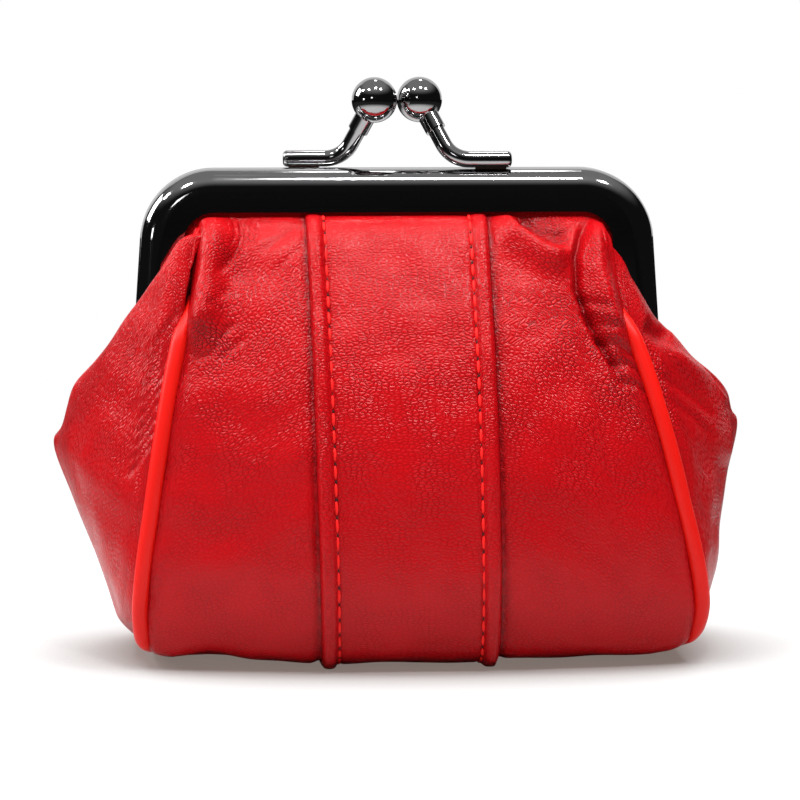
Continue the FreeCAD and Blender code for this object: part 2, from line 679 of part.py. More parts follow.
def sheet_point(row, across):
    """Middle of the front sheet, from -1 at the left piping to 1 at the right piping."""
    hand = LEFT if across < 0 else RIGHT
    edge = piping_point(hand, row)
    x = abs(across) * abs(edge.x)
    if row < CLEAR_ROW:
        return Vector(hand * x, seat_depth(), arch.height_at(held_inset(row), x))
    index = row - CLEAR_ROW
    crown = abs(across) ** CROSS_CROWN_POWER
    deep = size("belly_depth") * CENTER_DEPTH_SHARES[index]
    y = deep + (edge.y - deep) * crown
    z = hanging_height(row) + (edge.z - hanging_height(row)) * crown
    return Vector(hand * x, y, z)


def moved_towards(point, other, distance):
    """A point shifted by a set distance towards another."""
    way = other.sub(point)
    return point.add(way.multiply(distance / way.Length))


def beside_piping(hand, row, other):
    """Edge of the leather at a row of the piping, on the side of another point."""
    point = piping_point(hand, row)
    point.y = max(point.y, seam_depth())
    next_row = min(row + 1, ROW_COUNT - 1)
    along = piping_point(hand, next_row).sub(piping_point(hand, next_row - 2)).normalize()
    way = other.sub(point)
    way = way.sub(along.multiply(way.dot(along)))
    clear = size("piping_diameter") / 2 + size("seam_gap")
    if row in (CLEAR_ROW, SHOULDER_ROW):
        clear = clear + size("piping_relief")
    return point.add(way.multiply(clear / way.Length))


def outer_panel_points(hand):
    """Grid of one outer strip, from the piping to the edge of the centre strip."""
    grid = []
    for row in range(ROW_COUNT):
        reach = abs(piping_point(hand, row).x)
        seam = size("strip_half_width") / reach
        line = [sheet_point(row, hand * (1 + (seam - 1) * share)) for share in OUTER_PANEL_SHARES]
        line[0] = beside_piping(hand, row, line[1])
        line[-1] = moved_towards(line[-1], line[-2], size("seam_gap") / 2)
        grid.append(line)
    return grid


def center_panel_points():
    """Grid of the centre strip, with a raised rib along each folded edge."""
    grid = []
    for row in range(ROW_COUNT):
        line = []
        for share, rib in zip(STRIP_COLUMN_SHARES, STRIP_RIB_SHARES):
            hand = LEFT if share < 0 else RIGHT
            across = share * size("strip_half_width") / abs(piping_point(hand, row).x)
            point = sheet_point(row, across)
            if UNDER_ROW < row < ROW_COUNT - 2:
                point = point.add(Vector(0, rib * size("rib_height"), 0))
            line.append(point)
        line[0] = moved_towards(line[0], line[1], size("seam_gap") / 2)
        line[-1] = moved_towards(line[-1], line[-2], size("seam_gap") / 2)
        grid.append(line)
    return grid


def seam_depth():
    """Distance of a gusset half's seam edge from the middle plane."""
    return (size("leather_thickness") + size("seam_gap")) / 2


def midline_point(hand, row):
    """Seam between the front and rear gusset halves, from below the hinge over the nose to the floor."""
    hinge_x = size("frame_width") / 2
    nose_z = size("left_nose_height") if hand == LEFT else size("right_nose_height")
    if row < len(NOSE_OUT_SHARES):
        x = hinge_x + size("nose_overhang") * NOSE_OUT_SHARES[row]
        notch = size("hinge_height") - size("hinge_notch")
        z = notch + (nose_z - notch) * NOSE_DROP_SHARES[row]
        return Vector(hand * x, seam_depth(), z)
    index = row - len(NOSE_OUT_SHARES)
    reach = piping_reach(hand)
    x = reach + (nose_reach() - size("leather_thickness") / 2 - reach) * NOSE_BACK_SHARES[index]
    return Vector(hand * x, seam_depth(), nose_z * NOSE_HEIGHT_SHARES[index])


def gusset_point(hand, row, edge, seam, column):
    """One place on a gusset half, between its edge at the piping and its seam on the mid-line."""
    share = GUSSET_COLUMN_SHARES[column]
    if row <= CLEAR_ROW and 0 < share < 1:
        x, z = arch.along_leg(held_inset(min(row, LIP_ROW)), GUSSET_LEG_SHARES[column])
        if row < CLEAR_ROW:
            return Vector(hand * x, seat_depth(), z)
        front = size("frame_gap") / 2 + size("channel_depth")
        relief = size("lip_relief") + size("leather_thickness")
        return Vector(hand * (x - relief), front + relief, z)
    point = edge.add(seam.sub(edge).multiply(share))
    swell = 4 * share * (1 - share)
    if row == SHOULDER_ROW:
        x, y, z = [size("gusset_billow") * swell * part for part in BILLOW_DIRECTION_SHARES]
        point = point.add(Vector(hand * x, y, z))
    if row > SHOULDER_ROW:
        chord = seam.sub(edge)
        out = Vector(hand * abs(chord.y), abs(chord.x), 0).normalize()
        bulge = size("gusset_bulge") * GUSSET_BULGE_SHARES[row - len(NOSE_OUT_SHARES)]
        point = point.add(out.multiply(swell * bulge))
    return point


def gusset_points(hand):
    """Grid of the front half of a gusset, from the piping to the mid-line seam."""
    grid = []
    columns = range(len(GUSSET_COLUMN_SHARES))
    for row in range(ROW_COUNT):
        seam = midline_point(hand, row)
        edge = beside_piping(hand, row, gusset_point(hand, row, piping_point(hand, row), seam, 1))
        grid.append([gusset_point(hand, row, edge, seam, column) for column in columns])
    return grid


def lining_seat():
    """Distance of the lining's middle in front of the middle plane, inside the channel."""
    leather_back = seat_depth() - size("leather_thickness") / 2
    return leather_back - size("lining_gap") - size("lining_thickness") / 2


def lining_point(hand, row, column):
    """A place on one side of a lining half, from its side seam to its middle."""
    if row <= UNDER_ROW:
        held_share = LINING_HELD_SHARES[column]
        y = lining_seat()
        if row == UNDER_ROW:
            y = y - size("lining_relief") * LINING_RELIEF_SHARES[column]
        if LINING_DROP_SHARES[column] > 0:
            x, z = arch.along_leg(held_inset(row), held_share)
            return Vector(hand * x, y, z)
        point = sheet_point(row, hand * held_share)
        return Vector(point.x, y, point.z)
    index = row - CLEAR_ROW
    half_width = arch.along_leg(size("channel_height"), 1)[0] - size("lining_slack")
    deep = size("belly_depth") * LINING_DEPTH_SHARES[index] * LINING_CURVE_SHARES[column]
    drop = (HEIGHT_SHARES[index] - LINING_SIDE_SHARES[index]) * LINING_DROP_SHARES[column]
    z = base_level() + (lip_height() - base_level()) * (HEIGHT_SHARES[index] - drop)
    if row > SHOULDER_ROW + 1:
        z = z + size("lining_slack")
    return Vector(hand * half_width * LINING_WIDTH_SHARES[column], max(deep, seam_depth()), z)


def lining_points():
    """Grid of one lining half, from side seam to side seam."""
    grid = []
    columns = range(len(LINING_WIDTH_SHARES))
    for row in range(ROW_COUNT):
        left = [lining_point(LEFT, row, column) for column in columns]
        right = [lining_point(RIGHT, row, column) for column in columns]
        grid.append(left + right[-2::-1])
    return grid


def row_values():
    """Way down the middle of the front sheet at each row, which every sewn piece is laid out by."""
    values = [0.0]
    for row in range(1, ROW_COUNT):
        values.append(values[-1] + sheet_point(row, 0).distanceToPoint(sheet_point(row - 1, 0)))
    return values


def column_values(grid):
    """Mean way across a grid at each column."""
    values = [0.0]
    for column in range(1, len(grid[0])):
        ways = [line[column].distanceToPoint(line[column - 1]) for line in grid]
        values.append(values[-1] + sum(ways) / len(ways))
    return values


def smooth_poles(points, values):
    """Poles of a smooth cubic through points, straight wherever three points in a row are."""
    spans = [high - low for low, high in zip(values, values[1:])]
    steps = [end.sub(start) for start, end in zip(points, points[1:])]
    slopes = [step.multiply(1 / span) for step, span in zip(steps, spans)]
    tangents = [slopes[0]]
    for before, after, near, far in zip(slopes, slopes[1:], spans, spans[1:]):
        share = far / (near + far)
        tangents.append(Vector(before).multiply(share).add(Vector(after).multiply(1 - share)))
    tangents.append(slopes[-1])
    poles = [points[0]]
    for index, span in enumerate(spans):
        poles.append(points[index].add(Vector(tangents[index]).multiply(span / 3)))
        poles.append(points[index + 1].sub(Vector(tangents[index + 1]).multiply(span / 3)))
    poles.append(points[-1])
    return poles


def knot_counts(values):
    """Multiplicities of the knots of a smooth cubic."""
    return [4] + [2] * (len(values) - 2) + [4]


def surface_through(grid):
    """Smooth surface through a grid of points."""
    rows = row_values()
    columns = column_values(grid)
    strips = [smooth_poles(list(line), rows) for line in zip(*grid)]
    poles = [smooth_poles(list(line), columns) for line in zip(*strips)]
    surface = Part.BSplineSurface()
    counts = (knot_counts(rows), knot_counts(columns))
    surface.buildFromPolesMultsKnots(poles, *counts, rows, columns, False, False, 3, 3)
    return surface


def pole_values(knots, multiplicities, degree):
    """Parameter that each pole of a spline direction belongs to."""
    flat = [knot for knot, count in zip(knots, multiplicities) for _ in range(count)]
    return [sum(flat[i + 1:i + 1 + degree]) / degree for i in range(len(flat) - degree - 1)]


def shifted_surface(middle, distance):
    """A surface beside another, at a distance along its normals."""
    moved = middle.copy()
    rows = pole_values(middle.getUKnots(), middle.getUMultiplicities(), middle.UDegree)
    columns = pole_values(middle.getVKnots(), middle.getVMultiplicities(), middle.VDegree)
    for i, u in enumerate(rows, start=1):
        for j, v in enumerate(columns, start=1):
            moved.setPole(i, j, middle.getPole(i, j).add(middle.normal(u, v).multiply(distance)))
    return moved


def edge_face(first, second):
    """Straight-ruled face between two curves that run alike."""
    rim = Part.BSplineSurface()
    poles = [first.getPoles(), second.getPoles()]
    counts = ((2, 2), first.getMultiplicities())
    knots = ((0, 1), first.getKnots())
    rim.buildFromPolesMultsKnots(poles, *counts, *knots, False, False, 1, first.Degree)
    return rim.toShape()


def sheet_solid(grid, thickness):
    """A closed sheet of even thickness around the surface through a grid of points."""
    middle = surface_through(grid)
    sides = [shifted_surface(middle, sign * thickness / 2) for sign in (-1, 1)]
    first_row, last_row, first_column, last_column = middle.bounds()
    faces = [side.toShape() for side in sides]
    for row in (first_row, last_row):
        faces.append(edge_face(*[side.uIso(row) for side in sides]))
    for column in (first_column, last_column):
        faces.append(edge_face(*[side.vIso(column) for side in sides]))
    shell = Part.makeShell(faces)
    shell.sewShape()
    solid = Part.makeSolid(Part.Shell(shell.Faces))
    if solid.Volume < 0:
        solid.reverse()
    return solid


def placed_grid(grid, side):
    """Turns a grid of (across, forward, up) points to the front or the rear."""
    return [[Vector(point.x, side * point.y, point.z) for point in line] for line in grid]


def trimmed(solid, side):
    """What lies above the floor and on its own side of the bottom seam."""
    reach = nose_reach() + size("cut_overrun")
    deep = size("belly_depth") + size("cut_overrun")
    corner = Vector(-reach, size("seam_gap") / 2, 0)
    if side == FRONT:
        corner.y = -deep - size("seam_gap") / 2
    return solid.common(Part.makeBox(2 * reach, deep, arch.top, corner))


def make_piece(label, solid):
    """One sewn piece."""
    piece = doc.addObject("Part::Feature", label)
    piece.Label = label
    piece.Shape = solid
    return piece


def make_panel(label, grid, side):
    """One leather strip, flat where it stands on the floor."""
    solid = sheet_solid(placed_grid(grid, side), size("leather_thickness"))
    return make_piece(label, trimmed(solid, side))


def make_gusset(label, hand, side):
    """One half of a side gusset."""
    return make_piece(label, sheet_solid(placed_grid(gusset_points(hand), side), size("leather_thickness")))


def make_lining(label, side):
    """One half of the lining."""
    return make_piece(label, sheet_solid(placed_grid(lining_points(), side), size("lining_thickness")))


def make_piping(label, hand, side):
    """A round cord sewn between an outer strip and a gusset."""
    line = placed_grid([[piping_point(hand, row) for row in range(ROW_COUNT)]], side)[0]
    values = row_values()
    curve = Part.BSplineCurve()
    curve.buildFromPolesMultsKnots(smooth_poles(line, values), knot_counts(values), values, False, 3)
    rings = []
    circle = Part.Circle(Vector(0, 0, 0), Vector(0, 0, 1), size("piping_diameter") / 2)
    for station in range(PIPING_STATIONS):
        share = station / (PIPING_STATIONS - 1)
        value = values[CLEAR_ROW] + (values[-1] - values[CLEAR_ROW]) * share
        along = curve.tangent(value)[0]
        across = Vector(1, 0, 0).sub(Vector(along).multiply(along.x)).normalize()
        turn = FreeCAD.Rotation(across, along.cross(across), along)
        ring = Part.Wire(circle.toShape())
        ring.Placement = FreeCAD.Placement(curve.value(value), turn)
        rings.append(ring)
    return make_piece(label, trimmed(Part.makeLoft(rings, True, False), side))


pieces = []
for side, end in ((FRONT, "front"), (REAR, "rear")):
    frame = make_frame(f"{end}_frame", side)
    pieces.append(frame)
    pieces.append(make_packing_cord(f"{end}_packing_cord", side))
    pieces.append(make_stem(f"{end}_stem", side))
    pieces.append(make_ball(f"{end}_ball", side))
    doc.recompute()
    pieces.append(make_braze(f"{end}_braze", side, frame))
    pieces.append(make_panel(f"{end}_center_panel", center_panel_points(), side))
    for hand, name in ((LEFT, "left"), (RIGHT, "right")):
        pieces.append(make_panel(f"{end}_{name}_panel", outer_panel_points(hand), side))
        pieces.append(make_gusset(f"{end}_{name}_gusset", hand, side))
        pieces.append(make_piping(f"{end}_{name}_piping", hand, side))
    pieces.append(make_lining(f"{end}_lining", side))
for hand, name in ((LEFT, "left"), (RIGHT, "right")):
    pieces.append(make_rivet(f"{name}_rivet", hand))
doc.recompute()

for item in doc.Objects:
    if "Invalid" in item.State or "Error" in item.State:
        raise RuntimeError(f"{item.Label} failed: {item.State}")
os.makedirs("parts", exist_ok=True)
for piece in pieces:
    if piece.Shape.isNull() or not piece.Shape.isValid():
        raise RuntimeError(f"{piece.Label} has no valid shape")
    piece.Shape.exportStep(f"parts/{piece.Label}.step")
    print(piece.Label, len(piece.Shape.Solids), round(piece.Shape.Volume, 1))
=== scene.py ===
import json
import math

import bmesh
import bpy
import numpy as np
from mathutils import Matrix, Vector


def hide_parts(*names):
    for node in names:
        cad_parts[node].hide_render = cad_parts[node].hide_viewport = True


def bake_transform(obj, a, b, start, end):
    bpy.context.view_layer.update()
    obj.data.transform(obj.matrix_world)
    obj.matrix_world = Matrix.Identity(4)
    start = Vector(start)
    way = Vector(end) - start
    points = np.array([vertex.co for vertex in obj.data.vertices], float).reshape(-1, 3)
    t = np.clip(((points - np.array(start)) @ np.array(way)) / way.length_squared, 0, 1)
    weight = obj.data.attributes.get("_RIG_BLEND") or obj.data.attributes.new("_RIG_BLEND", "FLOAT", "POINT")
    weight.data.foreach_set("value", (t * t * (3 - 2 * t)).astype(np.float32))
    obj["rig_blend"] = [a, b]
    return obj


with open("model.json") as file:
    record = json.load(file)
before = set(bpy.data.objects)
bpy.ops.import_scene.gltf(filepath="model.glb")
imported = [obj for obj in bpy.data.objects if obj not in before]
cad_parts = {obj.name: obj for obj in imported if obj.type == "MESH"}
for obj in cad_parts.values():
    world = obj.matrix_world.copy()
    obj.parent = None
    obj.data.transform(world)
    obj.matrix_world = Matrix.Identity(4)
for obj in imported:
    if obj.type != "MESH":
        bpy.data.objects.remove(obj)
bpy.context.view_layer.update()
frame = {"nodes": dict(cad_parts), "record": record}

bl_info = {
    "name": "Kiss Lock Purse",
    "version": (1, 0, 0),
    "blender": (4, 5, 0),
    "location": "View3D > Sidebar > Purse",
    "description": "Leather, piping, stitches, lining and metal finishes of a kiss lock frame purse",
    "category": "Object",
}

MM = 0.001
FRONT, REAR = -1, 1
LEFT, RIGHT = -1, 1
ENDS = ((FRONT, "front"), (REAR, "rear"))
HANDS = ((LEFT, "left"), (RIGHT, "right"))
PURSE_MIDDLE = (0.0, 0.0, 30.0)

# Metal frame that the leather hangs from, in millimetres.
HINGE_HEIGHT = 42.8
ARCH_TOP = 79.2
HALF_WIDTH = 43.5
CORNER_RADIUS = 12.0
LEG_SPLAY = math.radians(4.0)
LEG_STOP = 3.8
CHANNEL_HEIGHT = 7.0
CHANNEL_FACE = 5.2
LIP_HEIGHT = ARCH_TOP - CHANNEL_HEIGHT
CORNER_Z = ARCH_TOP - CORNER_RADIUS
LEG_LENGTH = (CORNER_Z + CORNER_RADIUS * math.sin(LEG_SPLAY) - HINGE_HEIGHT) / math.cos(LEG_SPLAY)
CORNER_X = HALF_WIDTH - CORNER_RADIUS * math.cos(LEG_SPLAY) - LEG_LENGTH * math.sin(LEG_SPLAY)

# Rows of the sewn pieces from the edge in the channel to the bottom seam: four held, nine hanging.
HELD_INSETS = (3.5, 5.25, 7.0, 7.5)
HELD_DEPTHS = (3.45, 3.45, 3.45, 3.75)
HELD_ROWS = len(HELD_INSETS)
HEIGHT_SHARES = (0.975, 0.85, 0.645, 0.40, 0.12, 0.03, 0.0, 0.0, 0.0)
CENTER_DEPTHS = (6.8, 13.5, 21.3, 26.0, 24.7, 20.8, 15.1, 7.3, 0.0)
PIPING_DEPTHS = (7.2, 13.0, 18.3, 21.0, 19.5, 16.4, 11.6, 5.9, 0.0)
PIPING_REACH_SHARES = (-0.02, 0.08, 0.42, 0.74, 1.0, 0.96, 0.88, 0.84, 0.82)
PIPING_REACH = {LEFT: 42.0, RIGHT: 47.7}
NOSE_REACH = 56.0
NOSE_HEIGHT = {LEFT: 35.3, RIGHT: 38.0}
NOSE_OUT_SHARES = (-0.25, -0.21, -0.17, -0.12, 0.06, 0.52)
NOSE_DROP_SHARES = (0.0, 0.005, 0.015, 0.03, 0.06, 0.18)
NOSE_BACK_SHARES = (1.0, 0.77, 0.28, 0.16, 0.12, 0.1, 0.1)
NOSE_HEIGHT_SHARES = (1.0, 0.72, 0.24, 0.09, 0.055, 0.035, 0.03)
GUSSET_COLUMNS = (0.0, 0.1, 0.25, 0.5, 0.72, 0.8, 1.0)
GUSSET_LEG_SHARES = (0.0, 0.13, 0.33, 0.67, 0.93, 1.0, 1.0)
GUSSET_CLEAR_SHARES = (0.0, 0.12, 0.36, 0.73, 0.98, 1.0, 1.0)
GUSSET_BULGE_SHARES = (1.0, 1.0, 0.7, 0.3, 0.1, 0.0, 0.0)
GUSSET_BULGE = 2.0
BILLOWS = {
    LEFT: (
        (34.7, 10.8, 67.2), (38.2, 10.4, 62.7), (42.0, 9.3, 56.6), (46.2, 7.6, 49.5), (48.2, 6.2, 46.8)),
    RIGHT: (
        (35.0, 9.0, 64.8), (37.8, 8.8, 60.2), (40.8, 8.3, 54.8), (44.8, 7.2, 48.6), (48.2, 6.2, 46.0)),
}
REAR_TUCK = 1.0
HINGE_NOTCH = 7.0
BASE_LEVEL = 0.3
LEATHER = 1.0
SEAM_DEPTH = 0.55
CROWN_POWER = 2.4
LIP_RELIEF_IN = 3.24
LIP_RELIEF_OUT = 2.04
CLEAR_OF_FRAME = (HELD_DEPTHS[0] + 0.3, HELD_DEPTHS[0] + 2.5)

# Gussets: how far the lower part is tucked in and back, and the seam where the two halves meet.
TUCK_IN = 3.4
TUCK_BACK = 3.6
TUCK_HEIGHT = {LEFT: 7.5, RIGHT: 15.0}
TUCK_DEPTHS = (4.0, 14.0)
SEAM_SHUT = (0.86, 1.0)
SEAM_REST = 0.06

# Piping: the leathers close over it at the hidden heights, and it ends at its top.
PIPING_RADIUS = 1.3
PIPING_CLEARANCE = 0.2
PIPING_TOP = 61.5
PIPING_HIDDEN = (56.0, 62.0)
PIPING_TAPER = 0.6
PIPING_TAPER_LENGTH = 3.0
PIPING_SINK = 2.4
PIPING_SINK_HEIGHTS = (52.0, 59.5)
PIPING_LIFT = 0.9
PIPING_LIFT_HEIGHTS = (3.0, 14.0)
PIPING_START = 0.1

# Centre strip: middle and half width at the top and at the floor, folded edges and stitch lines.
STRIP_MIDDLE = (-0.5, 1.0)
STRIP_HALF = (14.7, 14.2)
STRIP_LIFT = 0.25
STRIP_LAP = 2.0
RIB_MIDDLE = 1.35
RIB_HALF = 1.45
GROOVE_DEPTH = 0.28
STITCH_INSET = 2.9
STITCH_PITCH = 2.8
STITCH_START = 2.0
STITCH_STOP = 8.0
# Half length as a share of the pitch, half width and half height.
STITCH_SHAPE = (0.41, 0.31, 0.30)
HOLE_SHAPE = (0.10, 0.27, 0.10)

# Lining: values for its columns from the side seam to the middle, then for its hanging rows.
LINING_WIDTHS = (1.0, 0.97, 0.85, 0.45, 0.0)
LINING_CURVE = (0.0, 0.45, 0.8, 0.97, 1.0)
LINING_DROPS = (1.0, 0.5, 0.0, 0.0, 0.0)
LINING_HELD = (0.9, 0.45, 1.0, 0.5, 0.0)
LINING_DEPTHS = (2.3, 8.8, 18.2, 22.9, 21.6, 17.7, 12.5, 6.2, 0.0)
LINING_SIDES = (0.60, 0.54, 0.45, 0.33, 0.15, 0.10, 0.06, 0.03, 0.0)
LINING_SEAT = 2.55
LINING_HALF = 33.4
LINING_SLACK = 3.0
LINING_SLACK_ROW = 3

# Rows and columns of the dense grids.
CENTER_GRID = (260, 121)
OUTER_GRID = (290, 141)
GUSSET_GRID = (220, 110)
PIPING_GRID = (150, 25)
LINING_GRID = (120, 120)
STITCH_ROWS = 900

# Folds and creases worked into the leather: a line of (across, up) places, half width, height and
# the share of that width on the line's left side as it runs down, smaller where the fold is steep.
STRIP_FOLDS = (
    (((-29.2, 71.8), (-31.0, 62.0), (-33.4, 51.0)), 2.85, 2.6, 1.33),
    (((-25.8, 71.2), (-25.2, 68.6), (-26.6, 65.6), (-30.0, 61.6)), 0.6, -0.7, 1.0),
    (((-26.8, 70.8), (-26.3, 68.4), (-27.6, 65.8)), 0.35, -0.35, 1.0),
    (((-24.6, 70.8), (-24.0, 68.6), (-25.2, 65.8)), 0.35, -0.3, 1.0),
    (((-23.2, 70.6), (-22.8, 68.8), (-24.0, 66.4)), 0.35, -0.25, 1.0),
    (((-34.0, 51.2), (-32.6, 49.8), (-30.4, 50.6), (-28.2, 54.0), (-25.6, 55.8)), 0.5, -0.35, 1.0),
    (((-32.6, 54.0), (-31.0, 56.5), (-29.6, 60.0)), 1.7, 0.6, 1.0),
    (((-31.2, 56.6), (-27.0, 60.6)), 0.5, -0.25, 1.0),
    (((-29.5, 49.3), (-24.5, 53.6)), 0.5, -0.22, 1.0),
    (((-15.6, 71.2), (-19.0, 68.2), (-23.0, 65.5)), 0.7, -0.3, 1.0),
    (((-15.6, 67.0), (-18.5, 64.8), (-21.0, 62.0)), 0.6, -0.2, 1.0),
    (((27.4, 64.6), (23.2, 66.0), (19.2, 68.7), (15.2, 71.4)), 2.6, 1.8, 0.4),
    (((18.5, 71.6), (23.5, 69.4), (28.0, 67.4)), 1.6, -1.7, 1.0),
    (((19.0, 72.0), (23.0, 70.6), (26.5, 70.2)), 0.4, 0.3, 1.0),
    (((21.5, 70.4), (25.0, 69.6), (28.5, 69.8)), 0.4, 0.3, 1.0),
    (((23.5, 69.0), (26.0, 68.2), (28.2, 68.4)), 0.4, 0.3, 1.0),
    (((32.6, 70.4), (31.9, 67.0), (31.6, 62.5), (32.6, 57.0), (35.2, 49.0)), 2.5, 2.6, 0.8),
    (((31.4, 71.4), (29.1, 68.4), (28.0, 65.0), (28.0, 60.2), (30.2, 54.3), (33.4, 48.2), (35.6, 44.0)),
     0.65, -1.5, 1.0),
    (((27.6, 59.2), (33.5, 56.0)), 0.6, -0.6, 1.0),
    (((28.0, 56.6), (31.6, 55.4)), 0.5, -0.45, 1.0),
    (((28.6, 55.4), (35.3, 53.4)), 0.6, -0.6, 1.0),
    (((29.8, 52.4), (34.0, 51.4), (38.2, 49.0)), 0.6, -0.6, 1.0),
    (((32.0, 48.8), (36.0, 48.4), (39.5, 46.0)), 0.6, -0.5, 1.0),
    (((33.5, 46.0), (37.0, 45.2), (40.0, 43.4)), 0.6, -0.4, 1.0),
)
GUSSET_FOLDS = {
    LEFT: tuple(
        (((-35.3 - 0.5 * line, 57.5 - 2.3 * line), (-40.2 - 0.4 * line, 50.5 - 2.2 * line)),
         0.45, -0.36, 1.0)
        for line in range(10)),
    RIGHT: (
        (((38.6, 54.6), (41.0, 52.8), (43.2, 51.8)), 1.2, -1.0, 1.0),
        (((54.5, 39.8), (49.0, 45.0), (44.0, 48.8), (39.6, 51.0)), 2.4, 1.0, 0.4),
        (((36.5, 64.0), (40.0, 58.0), (43.0, 53.0)), 1.0, -0.5, 1.0),
        (((40.0, 47.0), (46.0, 43.0), (51.0, 38.5)), 0.6, -0.3, 1.0),
        (((41.0, 43.5), (46.5, 39.5), (50.5, 35.5)), 0.6, -0.25, 1.0),
        (((57.0, 41.0), (57.0, 37.0), (55.5, 30.0)), 3.2, 1.6, 1.0),
    ),
}
# Shares of a fold that grow and fade, way over which folds start, and spots with more fine creases.
FOLD_START = (-0.02, 0.18)
FOLD_END = (-0.02, 0.3)
FOLD_CLEAR = (-0.4, 1.6)
WRINKLED_SPOTS = (
    (-27.0, 67.0, 4.0), (-30.0, 53.0, 5.0), (24.0, 69.5, 4.0), (31.0, 55.0, 7.0), (37.0, 46.0, 6.0))
# Edges at the piping: lap or gap of a strip, and reach and depths of the rolled edges.
EDGE_LAP = {LEFT: 0.0, RIGHT: 0.9}
EDGE_SHORT = 0.6
OUTER_ROLL = (2.4, 0.9, 1.8)
GUSSET_ROLL = (3.0, 0.7, 1.5)
GRAIN_ANGLES = {"center": 0.0, "outer": 38.0, "gusset": 50.0}
WAVES = 14

# How far the lower edge lifts off the floor by the place across, and where that fades out.
FLOOR_LIFT = (
    (-43.0, 2.0), (-40.0, 0.8), (-37.0, 0.6), (-31.0, 1.6), (-24.0, 1.0), (-15.0, 0.5), (-11.0, 0.6),
    (0.0, 0.9), (13.0, 0.6), (16.0, 0.8), (30.0, 0.7), (40.0, 0.4), (43.0, 0.6), (46.0, 1.4), (48.0, 2.4))
FLOOR_LIFT_HEIGHTS = (1.0, 12.0)
FLOOR_LIFT_DEPTHS = (4.0, 15.0)

# Leather that swings with a frame starts where this sloping height passes the first value.
SWING_SLOPE = (0.34, 0.94)
SWING_RANGE = (28.5, 46.6)

# Stage, in metres, degrees and watts.
FLOOR_HALF = 3.0
ROOM_DISTANCE = 1.4
ROOM_RISE = (43.5, 45.5)
WORLD_STRENGTH = 0.16
LAMP_AIM = (0, 0, 0.04)
LAMP_DISTANCE = 0.9
# Degrees to the right of the front and above level, width and power.
LAMPS = (
    (-105, 30, 0.35, 3.8), (-80, 45, 0.1, 2.2), (-45, 56, 0.1, 2.3), (10, 66, 0.1, 2.8),
    (48, 56, 0.1, 2.1), (-58, 10, 0.1, 0.2), (-16, 18, 0.1, 0.15), (170, 66, 0.1, 0.5))
CAMERA_AIM = (0.0005, 0.0, 0.0412)
CAMERA_SIDE = (-3.5, 6.0)
CAMERA_DISTANCE = 0.6
SENSOR_WIDTH = 36.0
FOCAL_LENGTH = 165.0


# Small helpers


def smooth_step(low, high, values):
    """0 below low, 1 above high and smooth between."""
    t = np.clip((values - low) / (high - low), 0, 1)
    return t * t * (3 - 2 * t)


def unit(vectors):
    """Vectors made one unit long."""
    return vectors / np.linalg.norm(vectors, axis=-1, keepdims=True)


def line_ways(line):
    """Way along a line of points from its first one."""
    return np.concatenate(([0.0], np.cumsum(np.linalg.norm(np.diff(line, axis=0), axis=1))))


# Frame geometry


def corner_point(inset, angle):
    """Place on the frame's corner, below its outer edge, at an angle above level."""
    inner = CORNER_RADIUS - inset
    return CORNER_X + inner * math.cos(angle), CORNER_Z + inner * math.sin(angle)


def leg_point(inset, share):
    """Place on the way from the middle of the corner down to the channel's end."""
    start = math.pi / 4
    inner = CORNER_RADIUS - inset
    bend = inner * (start - LEG_SPLAY)
    way = share * (bend + LEG_LENGTH - LEG_STOP / math.cos(LEG_SPLAY))
    if way < bend:
        return corner_point(inset, start - way / inner)
    x, z = corner_point(inset, LEG_SPLAY)
    return x + (way - bend) * math.sin(LEG_SPLAY), z - (way - bend) * math.cos(LEG_SPLAY)


# Leather surfaces: points are (across, forward, up) in millimetres until a piece is made


def hanging_heights():
    """Heights of the hanging rows at the middle of the purse."""
    return BASE_LEVEL + (LIP_HEIGHT - BASE_LEVEL) * np.array(HEIGHT_SHARES)


def piping_line(hand):
    """Middle of one side's piping at every row."""
    rows = [corner_point(inset, math.pi / 4) for inset in HELD_INSETS]
    points = [(hand * x, deep, z) for (x, z), deep in zip(rows, HELD_DEPTHS)]
    corner = corner_point(CHANNEL_HEIGHT, math.pi / 4)
    for share, deep, height in zip(PIPING_REACH_SHARES, PIPING_DEPTHS, hanging_heights()):
        x = corner[0] + (PIPING_REACH[hand] - corner[0]) * share
        z = max(height * corner[1] / LIP_HEIGHT, PIPING_RADIUS + PIPING_CLEARANCE)
        points.append((hand * x, deep, z))
    return np.array(points)


PIPING_LINES = {hand: piping_line(hand) for hand in (LEFT, RIGHT)}


def front_sheet(x):
    """Rows of the front leather's middle at places x across, an array of rows by columns."""
    edge = np.where((x < 0)[..., None], PIPING_LINES[LEFT][:, None], PIPING_LINES[RIGHT][:, None])
    share = np.clip(np.abs(x) / np.abs(edge[..., 0]), 0, 1.05)
    crown = share ** CROWN_POWER
    y = np.zeros_like(x)
    z = np.zeros_like(x)
    for row, inset in enumerate(HELD_INSETS):
        inner = CORNER_RADIUS - inset
        past = np.clip(np.abs(x[row]) - CORNER_X, 0, inner * 0.95)
        y[row] = HELD_DEPTHS[row]
        z[row] = CORNER_Z + np.sqrt(inner ** 2 - past ** 2)
    for index, height in enumerate(hanging_heights()):
        row = HELD_ROWS + index
        deep = CENTER_DEPTHS[index]
        y[row] = deep + (edge[row, :, 1] - deep) * crown[row]
        z[row] = height + (edge[row, :, 2] - height) * crown[row]
    return np.stack((x, y, z), axis=-1)


